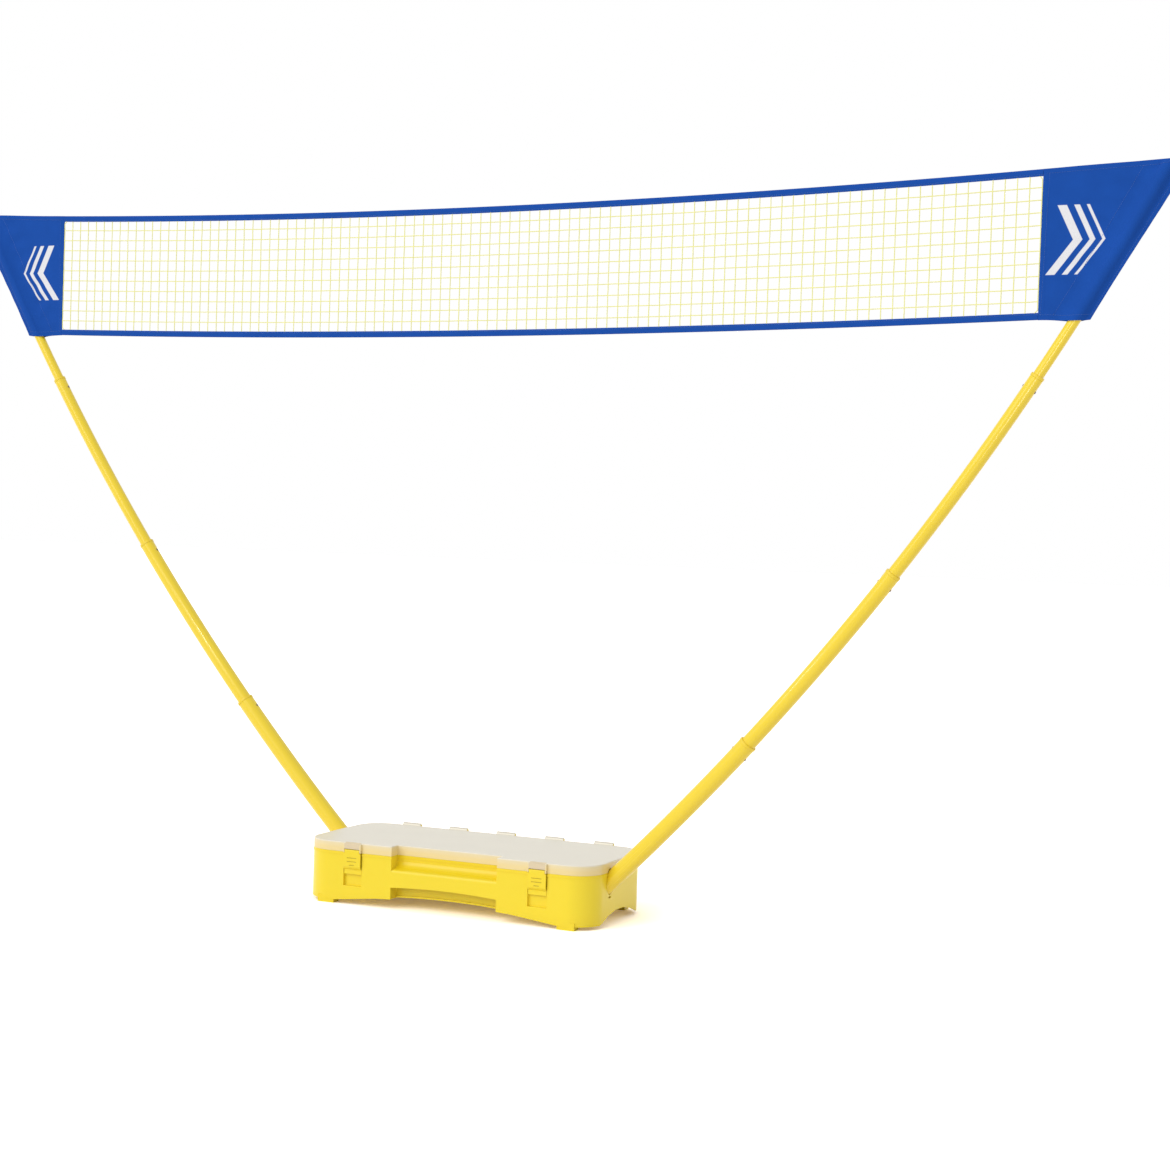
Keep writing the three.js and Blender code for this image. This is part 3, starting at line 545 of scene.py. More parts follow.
def twisted_twine(name, colour):
    """Twine with the slant of its plies, painted shade in the grooves between them, and a little fuzz."""
    ply_length = 0.0016
    slant = 0.6
    ply_share = 0.7
    ply_depth = 0.0002
    material, start, place, (x, y, z) = new_finish(name)
    plies = (x + z + y * slant).wave(ply_length)
    fuzz = noise(start, place, scale=1800.0, detail=3.0)
    drift = noise(start, place, scale=3.0)
    base = drifting(drift, colour, low=0.95, high=1.04)
    return close_finish(material, start, {
        # Painted shade: the grooves between the plies are painted darker
        "Base Color": (1 - plies).over(base, shaded(colour, 0.78), share=0.3),
        "Roughness": 0.72 + fuzz * 0.15,
        "Sheen Weight": 0.3,
        "Sheen Roughness": 0.5,
        "Normal": bump(start, plies * ply_share + fuzz * (1 - ply_share), ply_depth),
    })


def weave(start, place, x, z, period):
    """Plain weave from 0 to 1: over-and-under threads in x and z, with a little fluff."""
    thread_share = 0.8
    over = x.wave(period) * z.wave(2 * period)
    under = (x + period / 2).wave(period) * (z + period).wave(2 * period)
    fluff = noise(start, place, scale=2600.0)
    return start.math("MAXIMUM", over, under) * thread_share + fluff * (1 - thread_share)


def woven_cloth(name, colour, printed=None):
    """Polyester weave; the panels carry three printed chevrons that point to the pole."""
    thread_period = 0.0011
    thread_depth = 0.00016
    ink_cover = 0.94
    material, start, place, (x, _, z) = new_finish(name)
    threads = weave(start, place, x, z, thread_period)
    drift = noise(start, place, scale=22.0, detail=3.0)
    base = drifting(drift, colour, low=0.9, high=1.12)
    # Painted shade: the hollows between the threads are painted darker
    base = (1 - threads).over(base, shaded(colour, 0.6), share=0.22)
    rough = 0.76 + threads * 0.1
    if printed is not None:
        mask = chevrons(x, z)
        ink = drifting(drift, printed, low=0.95, high=1.0)
        base = (mask * (ink_cover + threads * (1 - ink_cover))).mixed(base, ink)
        rough = rough - mask * 0.18
    return close_finish(material, start, {
        "Base Color": base,
        "Roughness": rough,
        "Sheen Weight": 0.02,
        "Sheen Roughness": 0.5,
        "Specular IOR Level": 0.05,
        "Normal": bump(start, threads, thread_depth),
    })


def chevrons(x, z):
    """Mask of three chevrons between the net and the pole's pocket, from wide to narrow."""
    first_tip = 0.052
    strokes = ((0.010, 0.028), (0.042, 0.053), (0.066, 0.072))
    soft = 0.0006
    slope_share = 0.62
    tilt_share = 0.14
    half_height = 0.0665
    end_fade = 0.0012
    across = abs(x) - (panel_inner + first_tip)
    height = z - (NET_BOTTOM_HEIGHT + NET_TOP_HEIGHT) / 2
    lean = across + abs(height) * slope_share - height * tilt_share
    mask = sum(lean.between(low, high, soft) for low, high in strokes)
    return mask * (1 - abs(height).share(half_height, half_height + end_fade))


def sewing_thread(name, colour):
    """Twisted polyester thread."""
    strand_depth = 0.0001
    material, start, place, _ = new_finish(name)
    strand = noise(start, place, scale=3000.0, detail=3.0)
    return close_finish(material, start, {
        "Base Color": drifting(strand, colour, low=0.75, high=1.2),
        "Roughness": 0.5 + strand * 0.2,
        "Sheen Weight": 0.2,
        "Normal": bump(start, strand, strand_depth),
    })


def bright_to_the_eye(start):
    """1 for what is seen, straight, mirrored or through a clear part, and 0 for light on a surface."""
    rays = start.node("ShaderNodeLightPath", output="Is Camera Ray")
    mirrored = start.math("MAXIMUM", rays.output("Is Glossy Ray"), rays.output("Is Transmission Ray"))
    return start.math("MAXIMUM", rays, mirrored)


def pale_floor(name, looks):
    """Floor that is seen brighter than it is lit: white in the open, warm in the shadow that it keeps."""
    material, start, place, _ = new_finish(name)
    speck = noise(start, place, scale=60.0)
    seen = bright_to_the_eye(start)
    surface = start.node("ShaderNodeBsdfPrincipled", (), {
        "Base Color": drifting(speck, looks.floor, low=0.99, high=1.0),
        "Roughness": 0.9,
        "Specular IOR Level": 0.1,
    })
    black = (0.0, 0.0, 0.0)
    lift = start.node("ShaderNodeBsdfDiffuse", (), {"Color": seen.mixed(black, looks.floor_lift)})
    glow = start.node("ShaderNodeEmission", (), {"Color": colour_of(looks.floor_glow), "Strength": seen})
    both = start.node("ShaderNodeAddShader", (), {0: surface, 1: lift})
    both = start.node("ShaderNodeAddShader", (), {0: both, 1: glow})
    start.node("ShaderNodeOutputMaterial", (), {"Surface": both})
    return material


# Meshes


def linked(name, mesh):
    """A new object for a mesh, in the scene."""
    made = bpy.data.objects.new(name, mesh)
    bpy.context.scene.collection.objects.link(made)
    return made


def evened(obj):
    """Shades the large flat faces flat, so that only the rounded edges between them turn the light."""
    face_weight = 80
    even = obj.modifiers.new("even", "WEIGHTED_NORMAL")
    even.keep_sharp = True
    even.weight = face_weight
    return settled(obj)


def settled(obj):
    """Turns what the modifiers show into the object's own mesh."""
    bpy.context.view_layer.update()
    mesh = bpy.data.meshes.new_from_object(obj.evaluated_get(bpy.context.evaluated_depsgraph_get()))
    old = obj.data
    obj.modifiers.clear()
    obj.data = mesh
    if old.users == 0 and isinstance(old, bpy.types.Mesh):
        bpy.data.meshes.remove(old)
    return obj


def smoothed(obj, angle=CREASE):
    """Smooth shading with crisp edges above an angle."""
    obj.data.shade_smooth()
    obj.data.set_sharp_from_angle(angle=angle)
    return obj


def rounded(obj, width, segments=2):
    """Rounds the crisp edges."""
    bevel = obj.modifiers.new("edges", "BEVEL")
    bevel.width = width
    bevel.segments = segments
    bevel.limit_method = "ANGLE"
    bevel.angle_limit = CREASE
    bevel.use_clamp_overlap = True
    bevel.harden_normals = False
    return smoothed(settled(obj))


def mesh_of(name, build):
    """A mesh from a function that fills a bmesh, with its faces pointing out."""
    work = bmesh.new()
    build(work)
    bmesh.ops.recalc_face_normals(work, faces=work.faces)
    mesh = bpy.data.meshes.new(name)
    work.to_mesh(mesh)
    work.free()
    return mesh


def fine_copy(node, name, width):
    """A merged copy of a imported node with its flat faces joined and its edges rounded."""
    merge_distance = 0.00001
    flat_angle = math.radians(0.6)
    work = bmesh.new()
    work.from_mesh(frame["nodes"][node].data)
    bmesh.ops.remove_doubles(work, verts=work.verts, dist=merge_distance)
    bmesh.ops.dissolve_limit(work, angle_limit=flat_angle, verts=work.verts, edges=work.edges)
    mesh = bpy.data.meshes.new(name)
    work.to_mesh(mesh)
    work.free()
    return evened(rounded(linked(name, mesh), width))


def turned_into(work, profile, sides, closed=True):
    """Revolves a profile of (radius, height) about Y into a bmesh."""
    turns = [math.tau * i / sides for i in range(sides)]
    rings = []
    for radius, height in profile:
        if radius == 0:
            rings.append([work.verts.new((0, height, 0))])
        else:
            circle = [(radius * math.cos(t), height, radius * math.sin(t)) for t in turns]
            rings.append([work.verts.new(place) for place in circle])
    pairs = list(zip(rings, rings[1:]))
    if closed:
        pairs.append((rings[-1], rings[0]))
    for near, far in pairs:
        for i in range(sides):
            j = i + 1
            corners = [near[i % len(near)], near[j % len(near)], far[j % len(far)], far[i % len(far)]]
            work.faces.new(list(dict.fromkeys(corners)))


def lofted(work, rings):
    """Joins rings of points into one closed skin with a flat end at each side."""
    count = len(rings[0])
    for near, far in zip(rings, rings[1:]):
        for j in range(count):
            k = (j + 1) % count
            work.faces.new([near[j], near[k], far[k], far[j]])
    work.faces.new(rings[0])
    work.faces.new(rings[-1])


def hollowed(obj, tool):
    """Cuts a tool's shape out of an object, and removes the tool."""
    cut = obj.modifiers.new("cut", "BOOLEAN")
    cut.operation = "DIFFERENCE"
    cut.solver = "EXACT"
    cut.object = tool
    settled(obj)
    bpy.data.objects.remove(tool)


def dress(obj, finish, body, nodes=()):
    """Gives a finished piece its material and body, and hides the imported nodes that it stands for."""
    obj.data.materials.clear()
    obj.data.materials.append(finish)
    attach(obj, body)
    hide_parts(*nodes)
    return obj


def finish_node(node, finish):
    """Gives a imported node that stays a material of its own."""
    mesh = frame["nodes"][node].data
    mesh.materials.clear()
    mesh.materials.append(finish)


# Geometry trees


def new_tree(name, inputs):
    """A geometry tree with named inputs; returns it, its inputs by name and what ends it."""
    tree = bpy.data.node_groups.new(name, "GeometryNodeTree")
    for label, kind, value in inputs:
        item = tree.interface.new_socket(name=label, in_out="INPUT", socket_type=kind)
        if value is not None:
            item.default_value = value
    tree.interface.new_socket(name="Geometry", in_out="OUTPUT", socket_type="NodeSocketGeometry")
    entry = tree.nodes.new("NodeGroupInput")
    start = Flow(tree)
    given = {label: Flow(tree, entry.outputs[label]) for label, _, _ in inputs}

    def close(shape):
        real = start.node("GeometryNodeRealizeInstances", (), {"Geometry": shape})
        real = start.node("GeometryNodeSetShadeSmooth", (), {"Geometry": real})
        real = start.node("GeometryNodeSetMaterial", (), {"Geometry": real, "Material": given["Material"]})
        start.node("NodeGroupOutput", (), {"Geometry": real})

    return tree, start, given, close


def grown(obj, tree, values):
    """Runs a geometry tree on an object with values by input name, and keeps the result as its mesh."""
    modifier = obj.modifiers.new("growth", "NODES")
    modifier.node_group = tree
    for item in tree.interface.items_tree:
        if item.item_type == "SOCKET" and item.in_out == "INPUT" and item.name in values:
            modifier[item.identifier] = values[item.name]
    return settled(obj)


def bowed_tube_tree():
    """A tube's outer skin along an arc in the XZ plane, with its angles measured from +X."""
    tree, start, given, close = new_tree("bowed tube", [
        ("Bow Radius", "NodeSocketFloat", BOW_RADIUS),
        ("Start Angle", "NodeSocketFloat", 0.0),
        ("Sweep Angle", "NodeSocketFloat", 0.1),
        ("Tube Radius", "NodeSocketFloat", POLE_RADIUS),
        ("Steps", "NodeSocketInt", 40),
        ("Sides", "NodeSocketInt", 48),
        ("Material", "NodeSocketMaterial", None),
    ])
    arc = start.node("GeometryNodeCurveArc", {"mode": "RADIUS"}, {
        "Resolution": given["Steps"], "Radius": given["Bow Radius"],
        "Start Angle": given["Start Angle"], "Sweep Angle": given["Sweep Angle"]})
    round_profile = start.node("GeometryNodeCurvePrimitiveCircle", {"mode": "RADIUS"}, {
        "Resolution": given["Sides"], "Radius": given["Tube Radius"]})
    skin = start.node("GeometryNodeCurveToMesh", (), {"Curve": arc, "Profile Curve": round_profile})
    quarter_turn = (math.pi / 2, 0.0, 0.0)
    close(start.node("GeometryNodeTransform", (), {"Geometry": skin, "Rotation": quarter_turn}))
    return tree


def knotted_net_tree():
    """Twine along every edge of a grid between two sagging edges, with a knot at each crossing."""
    twine_sides = 6
    points_a_side = 4
    sway_scale = 60.0
    half = 0.5
    tree, start, given, close = new_tree("knotted net", [
        ("Half Width", "NodeSocketFloat", 1.2),
        ("Columns", "NodeSocketInt", 98),
        ("Rows", "NodeSocketInt", 12),
        ("Inset", "NodeSocketFloat", BAND_HEIGHT),
        ("Twine Radius", "NodeSocketFloat", 0.0007),
        ("Knot Radius", "NodeSocketFloat", 0.0013),
        ("Sway", "NodeSocketFloat", 0.001),
        ("Material", "NodeSocketMaterial", None),
    ])
    grid = start.node("GeometryNodeMeshGrid", (), {
        "Size X": 2.0, "Size Y": 1.0, "Vertices X": given["Columns"], "Vertices Y": given["Rows"]})
    place = start.node("GeometryNodeInputPosition")
    across = start.node("ShaderNodeSeparateXYZ", (), {"Vector": place})
    x = across * given["Half Width"]
    low = sagging(x, NET_BOTTOM_HALF, NET_BOTTOM_HEIGHT, NET_BOTTOM_SAG) + given["Inset"]
    high = sagging(x, NET_TOP_HALF, NET_TOP_HEIGHT, NET_TOP_SAG) - given["Inset"]
    z = low + (across.output("Y") + half) * (high - low)
    y = x * (-pole_offset / NET_TURN_IN) + middle_y
    spot = start.node("ShaderNodeCombineXYZ", (), {"X": x, "Y": y, "Z": z})
    hung = start.node("GeometryNodeSetPosition", (), {"Geometry": grid, "Position": spot})
    strands = start.node("GeometryNodeMeshToCurve", (), {"Mesh": hung})
    strands = start.node("GeometryNodeResampleCurve", (), {"Curve": strands, "Count": points_a_side})
    drift = start.node("ShaderNodeTexNoise", (), {
        "Vector": place, "Scale": sway_scale, "Detail": 1.0}, output="Color")
    drift = start.node("ShaderNodeVectorMath", {"operation": "SUBTRACT"}, {0: drift, 1: (half, half, half)})
    size = start.node("ShaderNodeCombineXYZ", (), dict.fromkeys("XYZ", given["Sway"]))
    drift = start.node("ShaderNodeVectorMath", {"operation": "MULTIPLY"}, {0: drift, 1: size})
    strands = start.node("GeometryNodeSetPosition", (), {"Geometry": strands, "Offset": drift})
    profile = start.node("GeometryNodeCurvePrimitiveCircle", {"mode": "RADIUS"}, {
        "Resolution": twine_sides, "Radius": given["Twine Radius"]})
    twine = start.node("GeometryNodeCurveToMesh", (), {
        "Curve": strands, "Profile Curve": profile, "Fill Caps": True})
    ball = start.node("GeometryNodeMeshIcoSphere", (), {"Radius": given["Knot Radius"], "Subdivisions": 1})
    knots = start.node("GeometryNodeSetPosition", (), {"Geometry": hung, "Offset": drift})
    knots = start.node("GeometryNodeInstanceOnPoints", (), {"Points": knots, "Instance": ball})
    joined = start.node("GeometryNodeJoinGeometry", (), {"Geometry": twine})
    tree.links.new(knots.socket, joined.socket.node.inputs["Geometry"])
    close(joined)
    return tree


def sagging(x, half, height, sag):
    """Height at x of an edge that hangs between its corners, for a number or a link."""
    return height - sag + x * x * (sag / half ** 2)


def running_stitch_tree():
    """Stitches laid along polylines at an even pitch."""
    thread_sides = 6
    tree, start, given, close = new_tree("running stitch", [
        ("Lines", "NodeSocketGeometry", None),
        ("Pitch", "NodeSocketFloat", 0.005),
        ("Length", "NodeSocketFloat", 0.0034),
        ("Thread Radius", "NodeSocketFloat", 0.00032),
        ("Material", "NodeSocketMaterial", None),
    ])
    curves = start.node("GeometryNodeMeshToCurve", (), {"Mesh": given["Lines"]})
    points = start.node("GeometryNodeCurveToPoints", {"mode": "LENGTH"}, {
        "Curve": curves, "Length": given["Pitch"]})
    thread = start.node("GeometryNodeMeshCylinder", {"fill_type": "TRIANGLE_FAN"}, {
        "Vertices": thread_sides, "Side Segments": 1,
        "Radius": given["Thread Radius"], "Depth": given["Length"]})
    turn = start.node("FunctionNodeAlignRotationToVector", {"axis": "Z"}, {
        "Vector": points.output("Tangent")})
    close(start.node("GeometryNodeInstanceOnPoints", (), {
        "Points": points, "Instance": thread, "Rotation": turn}))
    return tree


# Poles


def pole_angle(s):
    """Lean of the pole's line at an arc length from the case's end."""
    return start_angle + s / BOW_RADIUS


def half_turn(side):
    """Nothing for the right side, and half a turn about the vertical for the left."""
    return Matrix.Rotation(math.pi, 4, "Z") if side == "left" else Matrix.Identity(4)


def pole_place(side):
    """Turns the pole's own plane into its place; the left pole is the right one turned half round."""
    return Matrix.Translation((0, middle_y, 0)) @ half_turn(side) @ Matrix.Translation((0, -pole_offset, 0))


def pole_frame(side, s):
    """Place of a piece built along +Y at an arc length, with +X towards the bow's centre."""
    angle = pole_angle(s)
    inward = (-math.sin(angle), 0, math.cos(angle))
    along = (math.cos(angle), 0, math.sin(angle))
    turn = Matrix((inward, along, (0, 1, 0))).transposed().to_4x4()
    centre = Vector((bow_centre.x, 0, bow_centre.z)) - BOW_RADIUS * Vector(inward)
    return pole_place(side) @ Matrix.Translation(centre) @ turn


def section_radius(n):
    """Outer radius of a section, 1 being the lowest."""
    return POLE_RADIUS - (n - 1) * POLE_STEP


def section_span(n):
    """Stations of a section's lower and upper end."""
    low = COLLAR_STATIONS[n - 2] - SECTION_TAIL if n in SLIDING else -SOCKET_DEPTH
    return low, COLLAR_STATIONS[n - 1] if n in COLLARED else TIP_STATION


def pole_body(side, n):
    """Body that a section rides on; the lowest sections belong to the case."""
    return f"pole_{side}_{n}" if n in SLIDING else "case"


def button_station(n):
    """Station of the snap buttons below the collar of section n."""
    return COLLAR_STATIONS[n - 1] - BUTTON_DROP


def bored(obj, side, s, radius):
    """Cuts the round holes of a snap button through both walls of a tube."""
    sides = 24
    depth = 2 * POLE_RADIUS
    profile = [(0, -depth), (radius, -depth), (radius, depth), (0, depth)]
    tool = linked("hole", mesh_of("hole", lambda work: turned_into(work, profile, sides, closed=False)))
    tool.data.transform(pole_frame(side, s) @ Matrix.Rotation(math.pi / 2, 4, "Z"))
    hollowed(obj, tool)


def pole_section(side, n, tree, looks, finish):
    """One tube of a pole, with the holes of its snap buttons."""
    low, high = section_span(n)
    name = f"tube_{side}_{n}"
    tube = grown(linked(name, bpy.data.meshes.new(name)), tree, {
        "Start Angle": pole_angle(low) - math.pi / 2,
        "Sweep Angle": (high - low) / BOW_RADIUS,
        "Tube Radius": section_radius(n),
        "Steps": looks.steps,
        "Sides": looks.sides,
    })
    tube.data.transform(pole_place(side) @ Matrix.Translation((bow_centre.x, 0, bow_centre.z)))
    wall = tube.modifiers.new("wall", "SOLIDIFY")
    wall.thickness = POLE_WALL
    wall.offset = -1
    settled(tube)
    if n in SLIDING:
        bored(tube, side, button_station(n - 1), INNER_HOLE)
    if n in COLLARED:
        bored(tube, side, button_station(n), OUTER_HOLE)
    smoothed(tube)
    return dress(tube, finish, pole_body(side, n), [f"pole_{side}_section_{n}"])


def turned_piece(name, side, s, profile, sides, edge, closed):
    """A revolved piece with rounded edges, set on the pole's line."""
    piece = linked(name, mesh_of(name, lambda work: turned_into(work, profile, sides, closed)))
    rounded(piece, edge, segments=3)
    piece.data.transform(pole_frame(side, s))
    return piece


def pole_collar(side, n, looks, finish):
    """Collar pressed into a section's upper end, with a fine groove round its lip."""
    edge = 0.00025
    chamfer = 0.0009
    groove_drop = 0.0022
    groove_depth = 0.00015
    groove_half = 0.0003
    groove_floor_half = 0.0001
    lip = section_radius(n) + COLLAR_OUT
    bore = section_radius(n + 1) + RUN
    spigot = section_radius(n) - POLE_WALL - SEAT
    top = SEAT + COLLAR_LIP
    groove = top - groove_drop
    profile = [
        (bore, -COLLAR_SPIGOT), (spigot, -COLLAR_SPIGOT), (spigot, SEAT), (lip, SEAT),
        (lip, groove - groove_half), (lip - groove_depth, groove - groove_floor_half),
        (lip - groove_depth, groove + groove_floor_half), (lip, groove + groove_half),
        (lip, top - chamfer), (lip - chamfer, top), (bore, top),
    ]
    piece = turned_piece(f"collar_{side}_{n}", side, section_span(n)[1], profile, looks.sides, edge, True)
    return dress(piece, finish, pole_body(side, n), [f"pole_{side}_collar_{n}"])


def domed(radius, low, rise, step):
    """Profile points of a dome from its rim up, short of its top; the step is in degrees."""
    turns = [math.radians(angle) for angle in range(0, 90, step)]
    return [(radius * math.cos(t), low + rise * math.sin(t)) for t in turns]


def pole_cap(side, looks, finish):
    """Domed cap on the pole's tip."""
    edge = 0.0003
    side_share = 0.45
    dome_step = 9
    outer = section_radius(TOP_SECTION) + CAP_OUT
    spigot = section_radius(TOP_SECTION) - POLE_WALL - SEAT
    side_height = CAP_HEIGHT * side_share
    dome = domed(outer, side_height, CAP_HEIGHT - side_height, dome_step)
    profile = [
        (0, -CAP_SPIGOT), (spigot, -CAP_SPIGOT), (spigot, SEAT), (outer, SEAT), *dome, (0, CAP_HEIGHT),
    ]
    piece = turned_piece(f"cap_{side}", side, TIP_STATION, profile, looks.sides, edge, False)
    return dress(piece, finish, pole_body(side, TOP_SECTION), [f"pole_{side}_tip_cap"])


def snap_button(side, n, way, label, finish):
    """One leg of a V spring with its button, pressed in while its section slides; way 1 is inwards."""
    button_sides = 24
    dome_step = 15
    bend_share = 0.35
    bend_place = -0.6 * SPRING_LENGTH
    half_thickness = SPRING_THICKNESS / 2
    half_width = SPRING_WIDTH / 2
    reach = section_radius(n) - POLE_WALL - SPRING_INSET
    tip = section_radius(n - 1) + BUTTON_PROUD
    name = f"button_{side}_{n}_{label}"

    def build(work):
        crown = domed(BUTTON_RADIUS, tip - BUTTON_DOME, BUTTON_DOME, dome_step)
        profile = [(0, reach), (BUTTON_RADIUS, reach), *crown, (0, tip)]
        turned_into(work, profile, button_sides, closed=False)
        bmesh.ops.rotate(work, verts=work.verts, matrix=Matrix.Rotation(-math.pi / 2, 3, "Z"))
        root = half_thickness + SEAT / 2
        leaf = reach - half_thickness
        bend = root + bend_share * (reach - root)
        line = [(root, -SPRING_LENGTH), (bend, bend_place), (leaf, 0), (leaf, SPRING_TAB)]
        corners = ((-half_thickness, -half_width), (-half_thickness, half_width),
                   (half_thickness, half_width), (half_thickness, -half_width))
        lofted(work, [[work.verts.new((x + dx, y, z)) for dx, z in corners] for x, y in line])

    piece = smoothed(linked(name, mesh_of(name, build)))
    flip = Matrix.Rotation(math.pi, 4, "Y") if way < 0 else Matrix.Identity(4)
    place = pole_frame(side, button_station(n - 1))
    piece.data.transform(place @ flip)
    dress(piece, finish, name, [f"pole_{side}_button_{n}_{label}"])
    inward = place.to_3x3() @ Vector((1, 0, 0))
    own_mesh(piece)


# Net


def net_y(x):
    """The net runs straight between the poles' planes and lies in a pole's plane at each end."""
    return middle_y - pole_offset * max(-1.0, min(1.0, x / NET_TURN_IN))


def swelled(value, power):
    """The value raised to a power, with its sign kept."""
    return math.copysign(abs(value) ** power, value)


def band_object(name, edge, way):
    """Folded tape over one edge of the net, slightly puckered by its seam; way says which side it lies."""
    steps = 420
    around = 14
    puckers = ((0.0002, 0.019), (0.00016, 0.0113))
    thickening = 0.6
    drift = 0.5
    side_swell = 0.7
    fold_swell = 0.35

    def build(work):
        rings = []
        for i in range(steps + 1):
            x = band_half_length * (2 * i / steps - 1)
            pucker = sum(depth * math.sin(x * math.tau / length) for depth, length in puckers)
            ring = []
            for j in range(around):
                t = math.tau * j / around
                across = swelled(math.cos(t), side_swell) * (BAND_THICKNESS / 2 + pucker * thickening)
                share = (1 - swelled(math.sin(t), fold_swell)) / 2
                place = (x, net_y(x) + across + pucker * drift, edge(x) + way * BAND_HEIGHT * share)
                ring.append(work.verts.new(place))
            rings.append(ring)
        lofted(work, rings)

    return smoothed(linked(name, mesh_of(name, build)), TAPE_CREASE)


def band_seams(edge, way):
    """Stitch lines along a band's free edge, on both faces."""
    steps = 300
    length_share = 0.998
    inset = 0.0035
    proud = BAND_THICKNESS / 2 + THREAD_PROUD
    places = [band_half_length * length_share * (2 * i / steps - 1) for i in range(steps + 1)]
    return [[(x, net_y(x) + face * proud, edge(x) + way * (BAND_HEIGHT - inset)) for x in places]
            for face in FACES]


def net_object(name, looks, finish):
    """The knotted net, in whole squares between the panels and between the bands."""
    overlap = 0.003
    inset = BAND_HEIGHT - overlap
    width = 2 * band_half_length - looks.twine
    height = top_edge(0) - bottom_edge(0) - 2 * inset
    return grown(linked(name, bpy.data.meshes.new(name)), knotted_net_tree(), {
        "Half Width": width / 2,
        "Columns": round(width / looks.cell) + 1,
        "Rows": round(height / looks.cell) + 1,
        "Inset": inset,
        "Twine Radius": looks.twine / 2,
        "Knot Radius": looks.knot,
        "Sway": looks.sway,
        "Material": finish,
    })


def stitched(name, lines, looks, finish):
    """Running stitches along polylines of points."""
    vertices = [point for line in lines for point in line]
    edges = []
    first = 0
    for line in lines:
        edges += [(first + i, first + i + 1) for i in range(len(line) - 1)]
        first += len(line)
    mesh = bpy.data.meshes.new(name)
    mesh.from_pydata(vertices, edges, [])
    seam = grown(linked(name, mesh), running_stitch_tree(), {
        "Pitch": looks.stitch_pitch, "Length": looks.stitch, "Material": finish})
    return dress(seam, finish, "case")


def clamped(value):
    """The value held between 0 and 1."""
    return max(0.0, min(1.0, value))


def bell(value, middle, width):
    """1 at the middle, falling smoothly to 0 over the width."""
    return math.exp(-((value - middle) / width) ** 2)


def top_edge(x):
    """Height of the net's upper edge."""
    return sagging(x, NET_TOP_HALF, NET_TOP_HEIGHT, NET_TOP_SAG)


def bottom_edge(x):
    """Height of the net's lower edge."""
    return sagging(x, NET_BOTTOM_HALF, NET_BOTTOM_HEIGHT, NET_BOTTOM_SAG)


def panel_edge(z):
    """Where the panel's slanted edge is at a height."""
    share = (z - NET_BOTTOM_HEIGHT) / PANEL_HEIGHT
    return NET_BOTTOM_HALF + share * (NET_TOP_HALF - NET_BOTTOM_HALF)


def panel_point(u, v):
    """A point of the panel's middle surface, u from the net outwards and v from the hem up."""
    droop_width = 0.045
    outer = panel_edge(NET_BOTTOM_HEIGHT + v * PANEL_HEIGHT)
    x = panel_inner + u * (outer - panel_inner)
    low = bottom_edge(x) - HEM_DROOP * bell(x, mouth_x, droop_width)
    return x, low + v * (top_edge(x) - low)


def beside_bow(s, away):
    """Place beside the pole's line at an arc length, that far towards the bow's centre."""
    angle = pole_angle(s)
    reach = BOW_RADIUS - away
    return bow_centre.x + reach * math.sin(angle), bow_centre.z - reach * math.cos(angle)


def pocket_offset(x, z):
    """Distance from the pole's centre line, positive towards the bow's centre."""
    return BOW_RADIUS - math.hypot(x - bow_centre.x, z - bow_centre.z)


def pocket_half(x, z, spare):
    """Half the pocket's hollow round the pole, tented to its flanks, closed at the tip; spare is cloth."""
    tent_share = 0.8
    tent_top = 0.55
    tent_drop = 0.009
    tent_fade = 0.02
    tip_start = 0.004
    tip_spare = 0.002
    hem_drop = 0.002
    hem_fade = 0.006
    away = pocket_offset(x, z)
    station = (math.atan2(x - bow_centre.x, bow_centre.z - z) - start_angle) * BOW_RADIUS
    radius = section_radius(TOP_SECTION) + POCKET_GAP + spare
    flank, power = (POCKET_FLANK_IN, 2) if away > 0 else (POCKET_FLANK_OUT, 1)
    below = top_edge(x) - z
    crown = math.sqrt(max(0.0, radius ** 2 - away ** 2))
    slope = clamped((flank - abs(away)) / (flank - tent_top * radius))
    tent = tent_share * radius * slope ** power * clamped((below - tent_drop) / tent_fade)
    tip = clamped((station - TIP_STATION - tip_start) / (CAP_HEIGHT - tip_spare + spare))
    return max(crown, tent) * math.sqrt((1 - tip ** 2) * clamped((below - hem_drop) / hem_fade))


def panel_middle(x, z):
    """Distance of the panel's middle surface from the net's middle, with slack folds beside the pocket."""
    pull_depth = 0.0011
    pull_place = 0.05
    pull_width = 0.03
    pull_length = 0.043
    pull_lean = 40
    belly_depth = 0.001
    belly_length = 0.21
    belly_lean = 9
    seam_fade = 0.06
    pole_clear = 0.0125
    pole_fade = 0.02
    away = abs(pocket_offset(x, z))
    beyond = x - panel_inner
    along = math.hypot(beyond, z - NET_BOTTOM_HEIGHT)
    pull = pull_depth * bell(away, pull_place, pull_width)
    pull *= math.sin(along * math.tau / pull_length + away * pull_lean)
    belly = belly_depth * math.sin(beyond * math.tau / belly_length + z * belly_lean)
    free = clamped((away - pole_clear) / pole_fade)
    return net_y(x) - middle_y + (pull + belly) * clamped(beyond / seam_fade) * free


def hem_rise(x, z):
    """Extra thickness of the turned hems along the panel's edges."""
    rise = 0.0005
    hem_width = 0.012
    fade = 0.0012
    nearest = min(panel_edge(z) - x, z - bottom_edge(x), top_edge(x) - z, x - panel_inner)
    return rise * clamped((hem_width - nearest) / fade)


def panel_half(x, z, edge=1.0):
    """Half the panel's thickness; edge thins it towards its rims."""
    flat = (PANEL_THICKNESS / 2 + hem_rise(x, z)) * edge
    return math.hypot(flat, pocket_half(x, z, POCKET_FABRIC))


